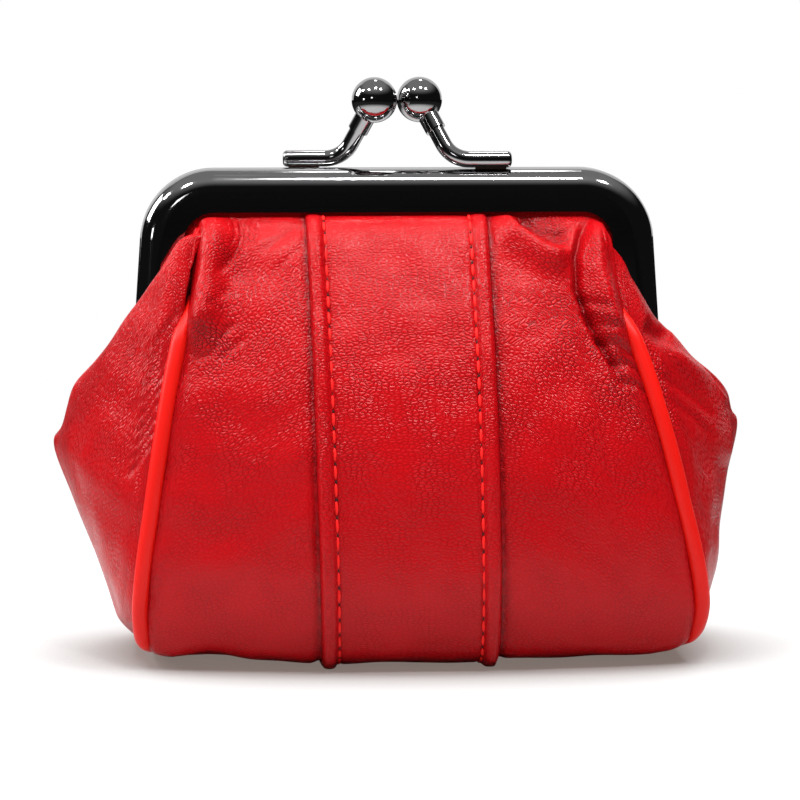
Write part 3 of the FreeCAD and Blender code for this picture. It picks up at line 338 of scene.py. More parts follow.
def resample(points, values, places):
    """Smooth cubic through rows of points, read at new places along the rows."""
    values = np.asarray(values, float)
    spans = np.diff(values)
    wide = (-1,) + (1,) * (points.ndim - 1)
    slopes = np.diff(points, axis=0) / spans.reshape(wide)
    share = (spans[1:] / (spans[:-1] + spans[1:])).reshape(wide)
    inner = slopes[:-1] * share + slopes[1:] * (1 - share)
    tangents = np.concatenate((slopes[:1], inner, slopes[-1:]))
    index = np.clip(np.searchsorted(values, places, side="right") - 1, 0, len(spans) - 1)
    span = spans[index].reshape(wide)
    t = ((places - values[index]) / spans[index]).reshape(wide)
    first = points[index] * (2 * t ** 3 - 3 * t ** 2 + 1)
    leave = tangents[index] * span * (t ** 3 - 2 * t ** 2 + t)
    last = points[index + 1] * (3 * t ** 2 - 2 * t ** 3)
    arrive = tangents[index + 1] * span * (t ** 3 - t ** 2)
    return first + leave + (last + arrive)


MIDDLE_LINE = front_sheet(np.zeros((HELD_ROWS + len(HEIGHT_SHARES), 1)))[:, 0]
ROW_VALUES = line_ways(MIDDLE_LINE)


def down_rows(points, count, start=0.0):
    """A grid's rows made dense and evenly spaced, from a share of the way down."""
    places = np.linspace(ROW_VALUES[-1] * start, ROW_VALUES[-1], count)
    return resample(points, ROW_VALUES, places)


def across_columns(points, count):
    """A grid's columns made dense and evenly spaced."""
    ways = np.linalg.norm(np.diff(points, axis=1), axis=2).mean(axis=0)
    values = np.concatenate(([0.0], np.cumsum(ways)))
    turned = np.swapaxes(points, 0, 1)
    return np.swapaxes(resample(turned, values, np.linspace(0, values[-1], count)), 0, 1)


def midline(hand):
    """Seam between the front and rear halves of a gusset at every row."""
    nose = NOSE_HEIGHT[hand]
    notch = HINGE_HEIGHT - HINGE_NOTCH
    reach = PIPING_REACH[hand]
    tip = NOSE_REACH - LEATHER / 2
    points = []
    for out, drop in zip(NOSE_OUT_SHARES, NOSE_DROP_SHARES):
        x = HALF_WIDTH + (NOSE_REACH - HALF_WIDTH) * out
        points.append((hand * x, SEAM_DEPTH, notch + (nose - notch) * drop))
    for back, height in zip(NOSE_BACK_SHARES, NOSE_HEIGHT_SHARES):
        points.append((hand * (reach + (tip - reach) * back), SEAM_DEPTH, nose * height))
    return np.array(points)


def gusset_grid(hand, side):
    """Rows and columns of one half of a gusset, from the piping to the mid-line seam."""
    piping = PIPING_LINES[hand]
    seam = midline(hand)
    shoulder = HELD_ROWS + 1
    grid = []
    for row in range(len(piping)):
        edge = piping[row].copy()
        edge[1] = max(edge[1], SEAM_DEPTH)
        line = []
        for column, share in enumerate(GUSSET_COLUMNS):
            inside = 0 < share < 1
            if inside and row < HELD_ROWS:
                x, z = leg_point(HELD_INSETS[row], GUSSET_LEG_SHARES[column])
                line.append((hand * x, HELD_DEPTHS[row], z))
            elif inside and row == HELD_ROWS:
                x, z = leg_point(CHANNEL_HEIGHT, GUSSET_CLEAR_SHARES[column])
                line.append((hand * (x - LIP_RELIEF_IN), CHANNEL_FACE + LIP_RELIEF_OUT, z))
            elif inside and row == shoulder:
                x, y, z = BILLOWS[hand][column - 1]
                line.append((hand * (x - REAR_TUCK * (side + 1) / 2), y, z - REAR_TUCK * (side + 1)))
            else:
                point = edge + (seam[row] - edge) * share
                if row > shoulder:
                    chord = seam[row] - edge
                    out = unit(np.array((hand * abs(chord[1]), abs(chord[0]), 0.0)))
                    bulge = GUSSET_BULGE * GUSSET_BULGE_SHARES[row - len(NOSE_OUT_SHARES)]
                    point = point + out * 4 * share * (1 - share) * bulge
                line.append(tuple(point))
        grid.append(line)
    return np.array(grid)


def lining_grid():
    """Rows and columns of one half of the lining, from side seam to side seam."""
    heights = hanging_heights()
    sides = BASE_LEVEL + (LIP_HEIGHT - BASE_LEVEL) * np.array(LINING_SIDES)
    grid = []
    for row in range(HELD_ROWS + len(heights)):
        half = []
        for column, width in enumerate(LINING_WIDTHS):
            if row < HELD_ROWS:
                inset = HELD_INSETS[row]
                if LINING_DROPS[column] > 0:
                    x, z = leg_point(inset, LINING_HELD[column])
                else:
                    x = corner_point(inset, math.pi / 4)[0] * LINING_HELD[column]
                    past = max(x - CORNER_X, 0)
                    z = CORNER_Z + math.sqrt((CORNER_RADIUS - inset) ** 2 - past ** 2)
                half.append((x, LINING_SEAT, z))
                continue
            index = row - HELD_ROWS
            drop = (heights[index] - sides[index]) * LINING_DROPS[column]
            lift = LINING_SLACK if index >= LINING_SLACK_ROW else 0.0
            y = max(LINING_DEPTHS[index] * LINING_CURVE[column], SEAM_DEPTH)
            half.append((LINING_HALF * width, y, heights[index] - drop + lift))
        left = [(-x, y, z) for x, y, z in half]
        grid.append(left + half[-2::-1])
    return np.array(grid)


def outward_normals(points):
    """Unit normals of a dense grid, turned away from the middle of the purse."""
    down = np.gradient(points, axis=0)
    across = np.gradient(points, axis=1)
    normals = np.cross(down, across)
    length = np.linalg.norm(normals, axis=2, keepdims=True)
    normals = normals / np.maximum(length, 1e-9)
    facing = np.sum(normals * (points - np.array(PURSE_MIDDLE)), axis=2).mean()
    return normals if facing > 0 else -normals


def fold_relief(points, folds):
    """Height that the folds add at each place of a dense grid, seen from the front."""
    height = np.zeros(points.shape[:2])
    place = points[..., (0, 2)]
    for line, width, rise, squeeze in folds:
        ends = np.array(line)
        steps = np.linalg.norm(np.diff(ends, axis=0), axis=1)
        whole = steps.sum()
        nearest = np.full(height.shape, np.inf)
        share = np.zeros(height.shape)
        reach = np.full(height.shape, width)
        passed = 0.0
        for start, stop, step in zip(ends, ends[1:], steps):
            run = stop - start
            off = place - start
            along = np.clip(off @ run / step ** 2, 0, 1)
            away = np.linalg.norm(off - along[..., None] * run, axis=-1)
            closer = away < nearest
            nearest = np.where(closer, away, nearest)
            share = np.where(closer, (passed + along * step) / whole, share)
            turn = run[0] * off[..., 1] - run[1] * off[..., 0]
            reach = np.where(closer, np.where(turn < 0, width * squeeze, width), reach)
            passed += step
        taper = smooth_step(*FOLD_START, share) * smooth_step(*FOLD_END, 1 - share)
        height += rise * taper * np.exp(-(nearest / reach) ** 2)
    return height


def ripple(points, length, seed):
    """Slow uneven waves of about one unit height and a given length."""
    source = np.random.default_rng(seed)
    total = np.zeros(points.shape[:2])
    for _ in range(WAVES):
        direction = source.normal(size=3)
        direction = direction / np.linalg.norm(direction) / length * source.uniform(0.6, 1.6)
        total += np.sin(2 * math.pi * (points @ direction) + source.uniform(0, 2 * math.pi))
    return total / math.sqrt(WAVES)


def stand_on_floor(points):
    """Lets the lower edge lift off the floor a little between the seams."""
    places, lifts = np.array(FLOOR_LIFT).T
    x, y, z = np.moveaxis(points, -1, 0)
    share = (1 - smooth_step(*FLOOR_LIFT_HEIGHTS, z)) * smooth_step(*FLOOR_LIFT_DEPTHS, y)
    points[..., 2] = np.maximum(z + np.interp(x, places, lifts) * share, 0.0)
    return points


def column_ways(points):
    """Way across a dense grid from its first column, in millimetres."""
    steps = np.linalg.norm(np.diff(points, axis=1), axis=2)
    return np.concatenate((np.zeros((len(points), 1)), np.cumsum(steps, axis=1)), axis=1)


def grain_places(points, angle):
    """Places on the hide in metres, turned so that the grain runs at an angle above level."""
    steps = np.linalg.norm(np.diff(points, axis=0), axis=2)
    up = -np.concatenate((np.zeros((1, points.shape[1])), np.cumsum(steps, axis=0)))
    right = column_ways(points) * np.sign(points[:, -1:, 0] - points[:, :1, 0])
    turn = math.radians(angle)
    along = right * math.cos(turn) + up * math.sin(turn)
    across = up * math.cos(turn) - right * math.sin(turn)
    return np.stack((along, across, np.zeros_like(along)), axis=-1) * MM


def edge_roll(points, reach, beside, closed, lap):
    """How far the leather turns in at the piping, deeper by the lap where it is hidden."""
    way = np.clip(1 - column_ways(points) / reach, 0, 1)
    hidden = smooth_step(*PIPING_HIDDEN, points[:, :1, 2])
    return -(beside + (closed + lap - beside) * hidden) * way ** 2


def strip_edges(z):
    """Middle and half width of the centre strip at a height."""
    share = np.clip(z / LIP_HEIGHT, 0, 1)
    middle = STRIP_MIDDLE[1] + (STRIP_MIDDLE[0] - STRIP_MIDDLE[1]) * share
    half = STRIP_HALF[1] + (STRIP_HALF[0] - STRIP_HALF[1]) * share
    return middle, half


def row_heights():
    """Heights of all rows at the middle of the purse."""
    return np.concatenate(([ARCH_TOP - inset for inset in HELD_INSETS], hanging_heights()))


def strip_surface(rows, columns):
    """The centre strip before its ribs, and each column's way in from the nearer edge."""
    middle, half = strip_edges(row_heights())
    spread = np.linspace(-1, 1, columns)
    x = middle[:, None] + half[:, None] * spread[None, :]
    points = down_rows(front_sheet(x), rows)
    inset = (1 - np.abs(spread)) * STRIP_HALF[0]
    return points, inset


def rib_profile(inset, height):
    """Height of the folded edge over the strip, by the way in from the edge."""
    round_part = np.sqrt(np.clip(1 - ((inset - RIB_MIDDLE) / RIB_HALF) ** 2, 0, 1)) * height
    groove = -GROOVE_DEPTH * np.exp(-((inset - STITCH_INSET) / 0.5) ** 2)
    edge = -0.7 * np.exp(-(inset / 0.35) ** 2)
    return round_part + groove + edge


def fold_strength(points):
    """How strongly fine creases show: most in the folds, less at the bottom and by the frame."""
    x, z = points[..., 0], points[..., 2]
    strength = 0.65 + 0.35 * smooth_step(20.0, 52.0, z) - 0.3 * smooth_step(60.0, 69.0, z)
    for across, up, reach in WRINKLED_SPOTS:
        away = (x - across) ** 2 + (z - up) ** 2
        strength = strength + 0.6 * np.exp(-away / reach ** 2)
    return strength


def below_frame(points):
    """0 where the frame holds the leather, 1 where it hangs clear of it."""
    return smooth_step(*CLEAR_OF_FRAME, points[..., 1])


# Making pieces


def new_piece(name, bm, material):
    """A finished bmesh made into a piece of the scene."""
    mesh = bpy.data.meshes.new(name)
    bm.to_mesh(mesh)
    bm.free()
    mesh.materials.append(material)
    piece = bpy.data.objects.new(name, mesh)
    bpy.context.scene.collection.objects.link(piece)
    return piece


def grid_piece(name, points, side, material, thickness=0.0, fold=None, painted_shade=None, grain=None):
    """A dense grid of (across, forward, up) points made into a piece of the front or the rear."""
    rows, columns = points.shape[:2]
    bm = bmesh.new()
    bmesh.ops.create_grid(bm, x_segments=columns - 1, y_segments=rows - 1, size=1.0)
    order = []
    for vert in bm.verts:
        column = round((vert.co.x + 1) / 2 * (columns - 1))
        row = round((vert.co.y + 1) / 2 * (rows - 1))
        x, y, z = points[row, column]
        vert.co = Vector((x, side * y, z)) * MM
        order.append(row * columns + column)
    bm.normal_update()
    middle = Vector(PURSE_MIDDLE) * MM
    facing = sum(face.normal.dot(face.calc_center_median() - middle) for face in bm.faces)
    if facing < 0:
        bmesh.ops.reverse_faces(bm, faces=bm.faces[:])
    for face in bm.faces:
        face.smooth = True
    piece = new_piece(name, bm, material)
    attributes = piece.data.attributes
    if fold is not None:
        # fold sets how strongly the grain shows; the second attribute carries painted shade for the creases.
        for label, values in (("fold", fold), ("painted_shade", painted_shade)):
            layer = attributes.new(label, "FLOAT", "POINT")
            layer.data.foreach_set("value", values.ravel()[order])
        layer = attributes.new("grain", "FLOAT_VECTOR", "POINT")
        layer.data.foreach_set("vector", grain.reshape(-1, 3)[order].ravel())
    if thickness:
        wall = piece.modifiers.new("Thickness", "SOLIDIFY")
        wall.thickness = thickness * MM
        wall.offset = -1.0
        wall.use_even_offset = False
    return piece


def hang(piece, side, slot, *nodes):
    """Lets a soft piece swing with its frame at the top and stand still below."""
    if nodes:
        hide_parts(*nodes)
    body = "front_frame" if side == FRONT else "rear_frame"
    toward = Vector((0, -side * SWING_SLOPE[0], SWING_SLOPE[1])) * MM
    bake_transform(piece, "pouch", body, start=toward * SWING_RANGE[0], end=toward * SWING_RANGE[1])


# Finishes


class NodeBench:
    """Adds nodes to a node tree and joins them."""

    def __init__(self, tree):
        self.nodes, self.links = tree.nodes, tree.links

    def add(self, kind, inputs=None, **settings):
        """A node, its settings, and inputs that are values or other nodes' outputs."""
        node = self.nodes.new(f"ShaderNode{kind}")
        for name, value in settings.items():
            setattr(node, name, value)
        for key, value in (inputs or {}).items():
            if isinstance(value, bpy.types.NodeSocket):
                self.links.new(value, node.inputs[key])
            else:
                node.inputs[key].default_value = value
        return node

    def attribute(self, name, output="Fac"):
        """Values that a mesh carries under a name."""
        return self.add("Attribute", attribute_name=name).outputs[output]

    def math(self, operation, *values, **settings):
        """Arithmetic on values or outputs."""
        node = self.add("Math", dict(enumerate(values)), operation=operation, **settings)
        return node.outputs["Value"]

    def range(self, value, low, high, first=0.0, last=1.0, kind="SMOOTHSTEP"):
        """A value moved from one range to another."""
        inputs = {"Value": value, "From Min": low, "From Max": high, "To Min": first, "To Max": last}
        return self.add("MapRange", inputs, interpolation_type=kind).outputs["Result"]

    def mix(self, factor, first, second):
        """A colour between two others."""
        inputs = {"Factor": factor, "A": first, "B": second}
        return self.add("Mix", inputs, data_type="RGBA").outputs["Result"]

    def mix_shaders(self, factor, first, second):
        """A surface between two others."""
        return self.add("MixShader", {"Fac": factor, 1: first, 2: second}).outputs["Shader"]


def grey(level):
    """A colour without hue."""
    return level, level, level, 1.0


def new_material(name):
    """An empty material and the bench for its nodes."""
    material = bpy.data.materials.new(name)
    material.use_nodes = True
    material.node_tree.nodes.clear()
    return material, NodeBench(material.node_tree)


def grain_group():
    """Leather surface of fine creases, pores and slow mottling, with painted shade in the crevices between
    its pebbles, shared by every leather piece.
    """
    group = bpy.data.node_groups.new("Leather Grain", "ShaderNodeTree")
    for name, kind in (("Vector", "Vector"), ("Cell Scale", "Float"), ("Fold", "Float")):
        group.interface.new_socket(name, in_out="INPUT", socket_type=f"NodeSocket{kind}")
    for name in ("Height", "Groove Shade", "Mottle"):
        group.interface.new_socket(name, in_out="OUTPUT", socket_type="NodeSocketFloat")
    bench = NodeBench(group)
    entry = group.nodes.new("NodeGroupInput").outputs
    leave = group.nodes.new("NodeGroupOutput").inputs

    def noise_of(scale, detail, place=entry["Vector"]):
        inputs = {"Vector": place, "Scale": scale, "Detail": detail}
        return bench.add("TexNoise", inputs, noise_dimensions="2D").outputs

    def stretched(place, along, across):
        inputs = {0: place, 1: (along, across, 1.0)}
        return bench.add("VectorMath", inputs, operation="MULTIPLY").outputs["Vector"]

    warp = {0: noise_of(500.0, 2.0)["Color"], 1: (0.0004, 0.0004, 0.0), 2: entry["Vector"]}
    shifted = bench.add("VectorMath", warp, operation="MULTIPLY_ADD").outputs["Vector"]
    net = {"Vector": stretched(shifted, 1.0, 1.75), "Scale": entry["Cell Scale"]}
    cells = bench.add("TexVoronoi", net, voronoi_dimensions="2D", feature="DISTANCE_TO_EDGE")
    edge = cells.outputs["Distance"]
    rough = bench.range(noise_of(180.0, 2.0)["Fac"], 0.3, 0.7, 0.55, 1.0)
    strength = bench.math("MULTIPLY", rough, entry["Fold"])
    pebbles = bench.math("MULTIPLY", bench.range(edge, 0.0, 0.5), strength)
    pores = bench.math("MULTIPLY", noise_of(3600.0, 1.0)["Fac"], 0.1)
    ridges = noise_of(1.0, 2.0, stretched(shifted, 170.0, 700.0))["Fac"]
    folded = bench.math("MULTIPLY", bench.math("MULTIPLY", ridges, entry["Fold"]), 1.1)
    height = bench.math("ADD", bench.math("ADD", pebbles, pores), folded)
    # Painted shade in the crevices between the pebbles, strongest where the creases show most.
    groove = bench.math("MULTIPLY", bench.range(edge, 0.0, 0.16, 0.85, 0.0), strength)
    mottle = noise_of(60.0, 4.0)["Fac"]
    for name, value in (("Height", height), ("Groove Shade", groove), ("Mottle", mottle)):
        group.links.new(value, leave[name])
    return group


def leather_material(settings):
    """Red leather with fine creases, painted shade in its creases and grain crevices, and a soft sheen."""
    material, bench = new_material("Red leather")
    hide = {
        "Vector": bench.attribute("grain", "Vector"),
        "Fold": bench.attribute("fold"),
        "Cell Scale": 1.0 / settings.grain_size,
    }
    grain = bench.add("Group", hide, node_tree=grain_group()).outputs
    mottle = bench.range(grain["Mottle"], 0.3, 0.7, kind="LINEAR")
    tone = bench.mix(mottle, (*settings.leather_shade, 1.0), (*settings.leather_color, 1.0))
    # Painted shade: the colour darkens toward the crease shade in the folds, along the stitch puckers and in
    # the grain crevices.
    depth = bench.math("MULTIPLY_ADD", bench.attribute("painted_shade"), 0.6, grain["Groove Shade"], use_clamp=True)
    bump = bench.add("Bump", {"Distance": settings.grain_depth, "Height": grain["Height"]})
    shader = bench.add("BsdfPrincipled", {
        "Base Color": bench.mix(depth, tone, (*settings.crease_shade_color, 1.0)),
        "Normal": bump.outputs["Normal"],
        "Roughness": 0.28,
        "Specular IOR Level": 0.17,
    })
    bench.add("OutputMaterial", {"Surface": shader.outputs["BSDF"]})
    return material


def plain_material(name, color, roughness, metallic=0.0, shine=0.5):
    """A smooth finish in one colour."""
    material, bench = new_material(name)
    shader = bench.add("BsdfPrincipled", {
        "Base Color": (*color, 1.0),
        "Roughness": roughness,
        "Metallic": metallic,
        "Specular IOR Level": shine,
    })
    bench.add("OutputMaterial", {"Surface": shader.outputs["BSDF"]})
    return material


class PurseLooks(bpy.types.PropertyGroup):
    """Sizes and colours of the finish that a user would change."""

    leather_color: bpy.props.FloatVectorProperty(
        name="Leather", description="Colour of the leather", subtype="COLOR", size=3,
        default=(0.425, 0.0024, 0.0048))
    leather_shade: bpy.props.FloatVectorProperty(
        name="Leather shade", description="Darker mottling of the leather", subtype="COLOR", size=3,
        default=(0.385, 0.002, 0.0042))
    # Painted shade that the leather takes in its creases and grain crevices.
    crease_shade_color: bpy.props.FloatVectorProperty(
        name="Leather creases", description="Colour in the creases of the leather", subtype="COLOR", size=3,
        default=(0.12, 0.001, 0.002))
    piping_color: bpy.props.FloatVectorProperty(
        name="Piping", description="Colour of the piping", subtype="COLOR", size=3,
        default=(0.63, 0.005, 0.002))
    thread_color: bpy.props.FloatVectorProperty(
        name="Thread", description="Colour of the stitches", subtype="COLOR", size=3,
        default=(0.80, 0.012, 0.010))
    # Painted shade of the needle holes between the stitches.
    needle_hole_shade_color: bpy.props.FloatVectorProperty(
        name="Needle holes", description="Colour inside the needle holes", subtype="COLOR", size=3,
        default=(0.03, 0.002, 0.002))
    metal_color: bpy.props.FloatVectorProperty(
        name="Black nickel", description="Reflection colour of the plated metal", subtype="COLOR", size=3,
        default=(0.34, 0.335, 0.34))
    # The braze keeps a slight copper tint but is darkened as painted shade of the gap under the stems.
    braze_and_gap_shade_color: bpy.props.FloatVectorProperty(
        name="Braze", description="Colour of the braze under the stems", subtype="COLOR", size=3,
        default=(0.05, 0.03, 0.023))
    lining_color: bpy.props.FloatVectorProperty(
        name="Lining", description="Colour of the lining", subtype="COLOR", size=3,
        default=(0.05, 0.012, 0.014))
    cord_color: bpy.props.FloatVectorProperty(
        name="Packing cord", description="Colour of the packing cord", subtype="COLOR", size=3,
        default=(0.62, 0.52, 0.38))
    grain_size: bpy.props.FloatProperty(
        name="Grain", description="Width of a leather pebble", unit="LENGTH", default=0.0009)
    grain_depth: bpy.props.FloatProperty(
        name="Grain depth", description="Height of the leather pebbles", unit="LENGTH", default=0.00008)
    rib_height: bpy.props.FloatProperty(
        name="Rib height", description="Height of the centre strip's folded edges", unit="LENGTH",
        default=0.0011)
    stitch_pitch: bpy.props.FloatProperty(
        name="Stitch pitch", description="Distance from stitch to stitch", unit="LENGTH",
        default=STITCH_PITCH * MM)


def looks():
    """The scene's purse settings."""
    return bpy.context.scene.purse_looks


class PURSE_OT_leather(bpy.types.Operator):
    """Makes the leather strips and gussets of the front and the rear."""

    bl_idname = "purse.leather"
    bl_label = "Leather"

    def execute(self, context):
        settings = looks()
        material = leather_material(settings)
        for side, end in ENDS:
            self.center_strip(side, end, settings, material)
            for hand, name in HANDS:
                self.outer_strip(side, end, hand, name, material)
                self.gusset(side, end, hand, name, material)
        return {"FINISHED"}

    def center_strip(self, side, end, settings, material):
        """The strip in the middle, with its two stitched ribs."""
        points, inset = strip_surface(*CENTER_GRID)
        normals = outward_normals(points)
        rib = rib_profile(inset, settings.rib_height / MM)
        clear = np.minimum(below_frame(points), smooth_step(0.0, 12.0, points[..., 1]))
        rise = LEATHER / 2 + (STRIP_LIFT + rib[None, :] + 0.12 * ripple(points, 11.0, 3)) * clear
        points = stand_on_floor(points + normals * rise[..., None])
        self.sheet(f"{end}_center_leather", points, side, material, np.zeros(points.shape[:2]),
                   GRAIN_ANGLES["center"], f"{end}_center_panel")

    def outer_strip(self, side, end, hand, name, material):
        """A strip between the centre strip and the piping."""
        rows, columns = OUTER_GRID
        middle, half = strip_edges(row_heights())
        seam = middle + hand * (half - STRIP_LAP)
        closed = smooth_step(*PIPING_HIDDEN, PIPING_LINES[hand][:, 2])
        edge = PIPING_LINES[hand][:, 0] + hand * (EDGE_LAP[hand] * closed - EDGE_SHORT * (1 - closed))
        x = edge[:, None] + (seam - edge)[:, None] * np.linspace(0, 1, columns)[None, :]
        points = down_rows(front_sheet(x), rows)
        normals = outward_normals(points)
        height = points[..., 2]
        middle, half = strip_edges(height)
        beside = (points[..., 0] - middle) * hand - half
        relief = fold_relief(points, STRIP_FOLDS) * smooth_step(*FOLD_CLEAR, column_ways(points))
        roll = edge_roll(points, *OUTER_ROLL, -EDGE_LAP[hand])
        dip = 0.4 * np.exp(-((beside - 0.3) / 0.8) ** 2)
        rise = relief + 0.15 * ripple(points, 12.0, 7 + hand) + roll - dip
        # Painted shade along the stitch line, one dark dash at each stitch, and in the fold creases.
        stitched = 0.85 + 0.3 * np.sin(height * 2 * math.pi / STITCH_PITCH)
        pucker_shade = np.exp(-((beside - 0.1) / 0.55) ** 2) * stitched
        points = stand_on_floor(points + normals * (LEATHER / 2 + rise * below_frame(points))[..., None])
        self.sheet(f"{end}_{name}_leather", points, side, material, np.clip(pucker_shade - relief / 2.3, 0, 1),
                   -hand * GRAIN_ANGLES["outer"], f"{end}_{name}_panel")

    def gusset(self, side, end, hand, name, material):
        """Half of a side gusset."""
        rows, columns = GUSSET_GRID
        points = across_columns(down_rows(gusset_grid(hand, side), rows), columns)
        normals = outward_normals(points)
        relief = fold_relief(points, GUSSET_FOLDS[hand])
        roll = edge_roll(points, *GUSSET_ROLL, EDGE_LAP[hand])
        rise = (relief + 0.15 * ripple(points, 10.0, 17 + hand) + roll) * below_frame(points)
        low = 1 - smooth_step(0.0, TUCK_HEIGHT[hand], points[..., 2])
        points = points + normals * (LEATHER / 2 + rise)[..., None]
        points[..., 0] -= hand * TUCK_IN * low
        points[..., 1] -= TUCK_BACK * low * smooth_step(*TUCK_DEPTHS, points[..., 1])
        shut = smooth_step(*SEAM_SHUT, np.linspace(0, 1, columns))
        points[..., 1] += (SEAM_REST - points[:, -1:, 1]) * shut
        points = stand_on_floor(points)
        # Painted shade in the gusset's fold creases.
        self.sheet(f"{end}_{name}_gusset_leather", points, side, material, np.clip(-relief / 1.6, 0, 1),
                   -hand * GRAIN_ANGLES["gusset"], f"{end}_{name}_gusset")

    def sheet(self, label, points, side, material, painted_shade, angle, node):
        """A sheet of leather with its creases, the painted shade in them and grain, hung from its frame in
        place of a solid.
        """
        piece = grid_piece(label, points, side, material, LEATHER,
                           fold_strength(points), painted_shade, grain_places(points, angle))
        hang(piece, side, "red_leather", node)


class PURSE_OT_piping(bpy.types.Operator):
    """Makes the bright cords sewn between the strips and the gussets."""

    bl_idname = "purse.piping"
    bl_label = "Piping"

    def execute(self, context):
        material = plain_material("Piping", looks().piping_color, 0.4, shine=0.2)
        for side, end in ENDS:
            for hand, name in HANDS:
                piece = grid_piece(f"{end}_{name}_piping_cord", self.cord(hand), side, material)
                hang(piece, side, "piping", f"{end}_{name}_piping")
        return {"FINISHED"}

    def cord(self, hand):
        """Surface of one side's cord, sunk and thinner where it goes in between the leathers."""
        rows, columns = PIPING_GRID
        route = down_rows(PIPING_LINES[hand][:, None], rows, PIPING_START)[:, 0]
        route = route[route[:, 2] < PIPING_TOP]
        sunk = PIPING_SINK * smooth_step(*PIPING_SINK_HEIGHTS, route[:, 2:])
        route = route - sunk * np.array((0.6 * hand, 0.8, 0.0))
        run = unit(np.gradient(route, axis=0))
        out = unit(np.cross(run, np.array((0.3 * hand, 0.5, 1.0))))
        across = np.cross(run, out)
        turn = np.linspace(0, 2 * math.pi, columns)[:, None]
        ring = out[:, None] * np.cos(turn) + across[:, None] * np.sin(turn)
        taper = smooth_step(PIPING_TOP - PIPING_TAPER_LENGTH, PIPING_TOP, route[:, 2])
        radius = PIPING_RADIUS * (1 - PIPING_TAPER * taper)
        points = stand_on_floor(route[:, None] + ring * radius[:, None, None])
        points[..., 2] += PIPING_LIFT * (1 - smooth_step(*PIPING_LIFT_HEIGHTS, points[..., 2]))
        return points


class PURSE_OT_stitches(bpy.types.Operator):
    """Makes the topstitching beside the centre strip's ribs, with dark marks of painted shade at its needle
    holes.
    """

    bl_idname = "purse.stitches"
    bl_label = "Stitches"

    def execute(self, context):
        settings = looks()
        thread = plain_material("Thread", settings.thread_color, 0.6, shine=0.2)
        # Dark marks at the needle holes, painted shade where the thread goes into the leather.
        hole = plain_material("Needle hole", settings.needle_hole_shade_color, 0.9)
        for side, end in ENDS:
            for hand, name in HANDS:
                for kind, material, shape, shift, lift in (
                        ("stitches", thread, STITCH_SHAPE, 0.0, 0.10),
                        ("needle_holes", hole, HOLE_SHAPE, 0.5, 0.02)):
                    label = f"{end}_{name}_{kind}"
                    piece = self.seam(label, side, hand, settings, material, shape, shift, lift)
                    hang(piece, side, "red_leather")
        return {"FINISHED"}

    def seam(self, label, side, hand, settings, material, shape, shift, lift):
        """One row of like shapes along a stitch line, from the frame to the floor."""
        columns = CENTER_GRID[1]
        points, inset = strip_surface(STITCH_ROWS, columns)
        column = int(np.argmin(np.abs(inset - STITCH_INSET)[:columns // 2]))
        column = column if hand == LEFT else columns - 1 - column
        normals = outward_normals(points)[:, column]
        height = LEATHER / 2 + STRIP_LIFT - GROOVE_DEPTH + lift
        line = stand_on_floor(points[:, column] + normals * height)
        line[:, 2] = np.maximum(line[:, 2], shape[2])
        way = line_ways(line)
        pitch = settings.stitch_pitch / MM
        depth = points[:, column, 1]
        upper, lower = STITCH_ROWS // 3, STITCH_ROWS // 2
        start = np.interp(HELD_DEPTHS[0] + STITCH_START, depth[:upper], way[:upper])
        stop = np.interp(-STITCH_STOP, -depth[lower:], way[lower:])

        def read(values, place):
            x, y, z = (np.interp(place, way, values[:, axis]) for axis in range(3))
            return Vector((x, side * y, z))

        bm = bmesh.new()
        for place in np.arange(start, stop, pitch) + pitch * shift:
            spot = read(line, place)
            along = (read(line, place + 0.5) - spot).normalized()
            across = read(normals, place).cross(along).normalized()
            turn = Matrix((along, across, along.cross(across))).transposed().to_4x4()
            stretch = Matrix.Diagonal((shape[0] * pitch, shape[1], shape[2], 1.0))
            matrix = Matrix.Scale(MM, 4) @ Matrix.Translation(spot) @ turn @ stretch
            bmesh.ops.create_uvsphere(bm, u_segments=8, v_segments=6, radius=1.0, matrix=matrix)
        for face in bm.faces:
            face.smooth = True
        bmesh.ops.recalc_face_normals(bm, faces=bm.faces[:])
        return new_piece(label, bm, material)


class PURSE_OT_lining(bpy.types.Operator):
    """Makes the two halves of the lining."""

    bl_idname = "purse.lining"
    bl_label = "Lining"

    def execute(self, context):
        material = plain_material("Lining", looks().lining_color, 0.8)
        for side, end in ENDS:
            points = across_columns(down_rows(lining_grid(), LINING_GRID[0]), LINING_GRID[1])
            piece = grid_piece(f"{end}_lining_cloth", points, side, material)
            hang(piece, side, "lining", f"{end}_lining")
        return {"FINISHED"}


class PURSE_OT_metal(bpy.types.Operator):
    """Finishes the frames, clasp, rivets, braze and packing cords."""

    bl_idname = "purse.metal"
    bl_label = "Metal"

    def execute(self, context):
        settings = looks()
        metal = plain_material("Black nickel", settings.metal_color, 0.07, metallic=1.0)
        # Braze darkened as painted shade of the gap under the stems, with a slight copper tint.
        braze = plain_material("Braze", settings.braze_and_gap_shade_color, 0.45, metallic=1.0)
        cord = plain_material("Packing cord", settings.cord_color, 0.85)
        finishes = {"black_nickel": metal, "braze": braze, "packing_cord": cord}
        slots = {entry["node"]: entry["material_slot"] for entry in frame["record"]["subparts"]}
        for node, piece in frame["nodes"].items():
            if slots[node] in finishes:
                piece.data.materials.clear()
                piece.data.materials.append(finishes[slots[node]])
        return {"FINISHED"}


def aside(azimuth, rise):
    """Direction from the purse at degrees to the right of the front and above level."""
    turn, rise = math.radians(azimuth), math.radians(rise)
    return Vector((math.sin(turn) * math.cos(rise), -math.cos(turn) * math.cos(rise), math.sin(rise)))


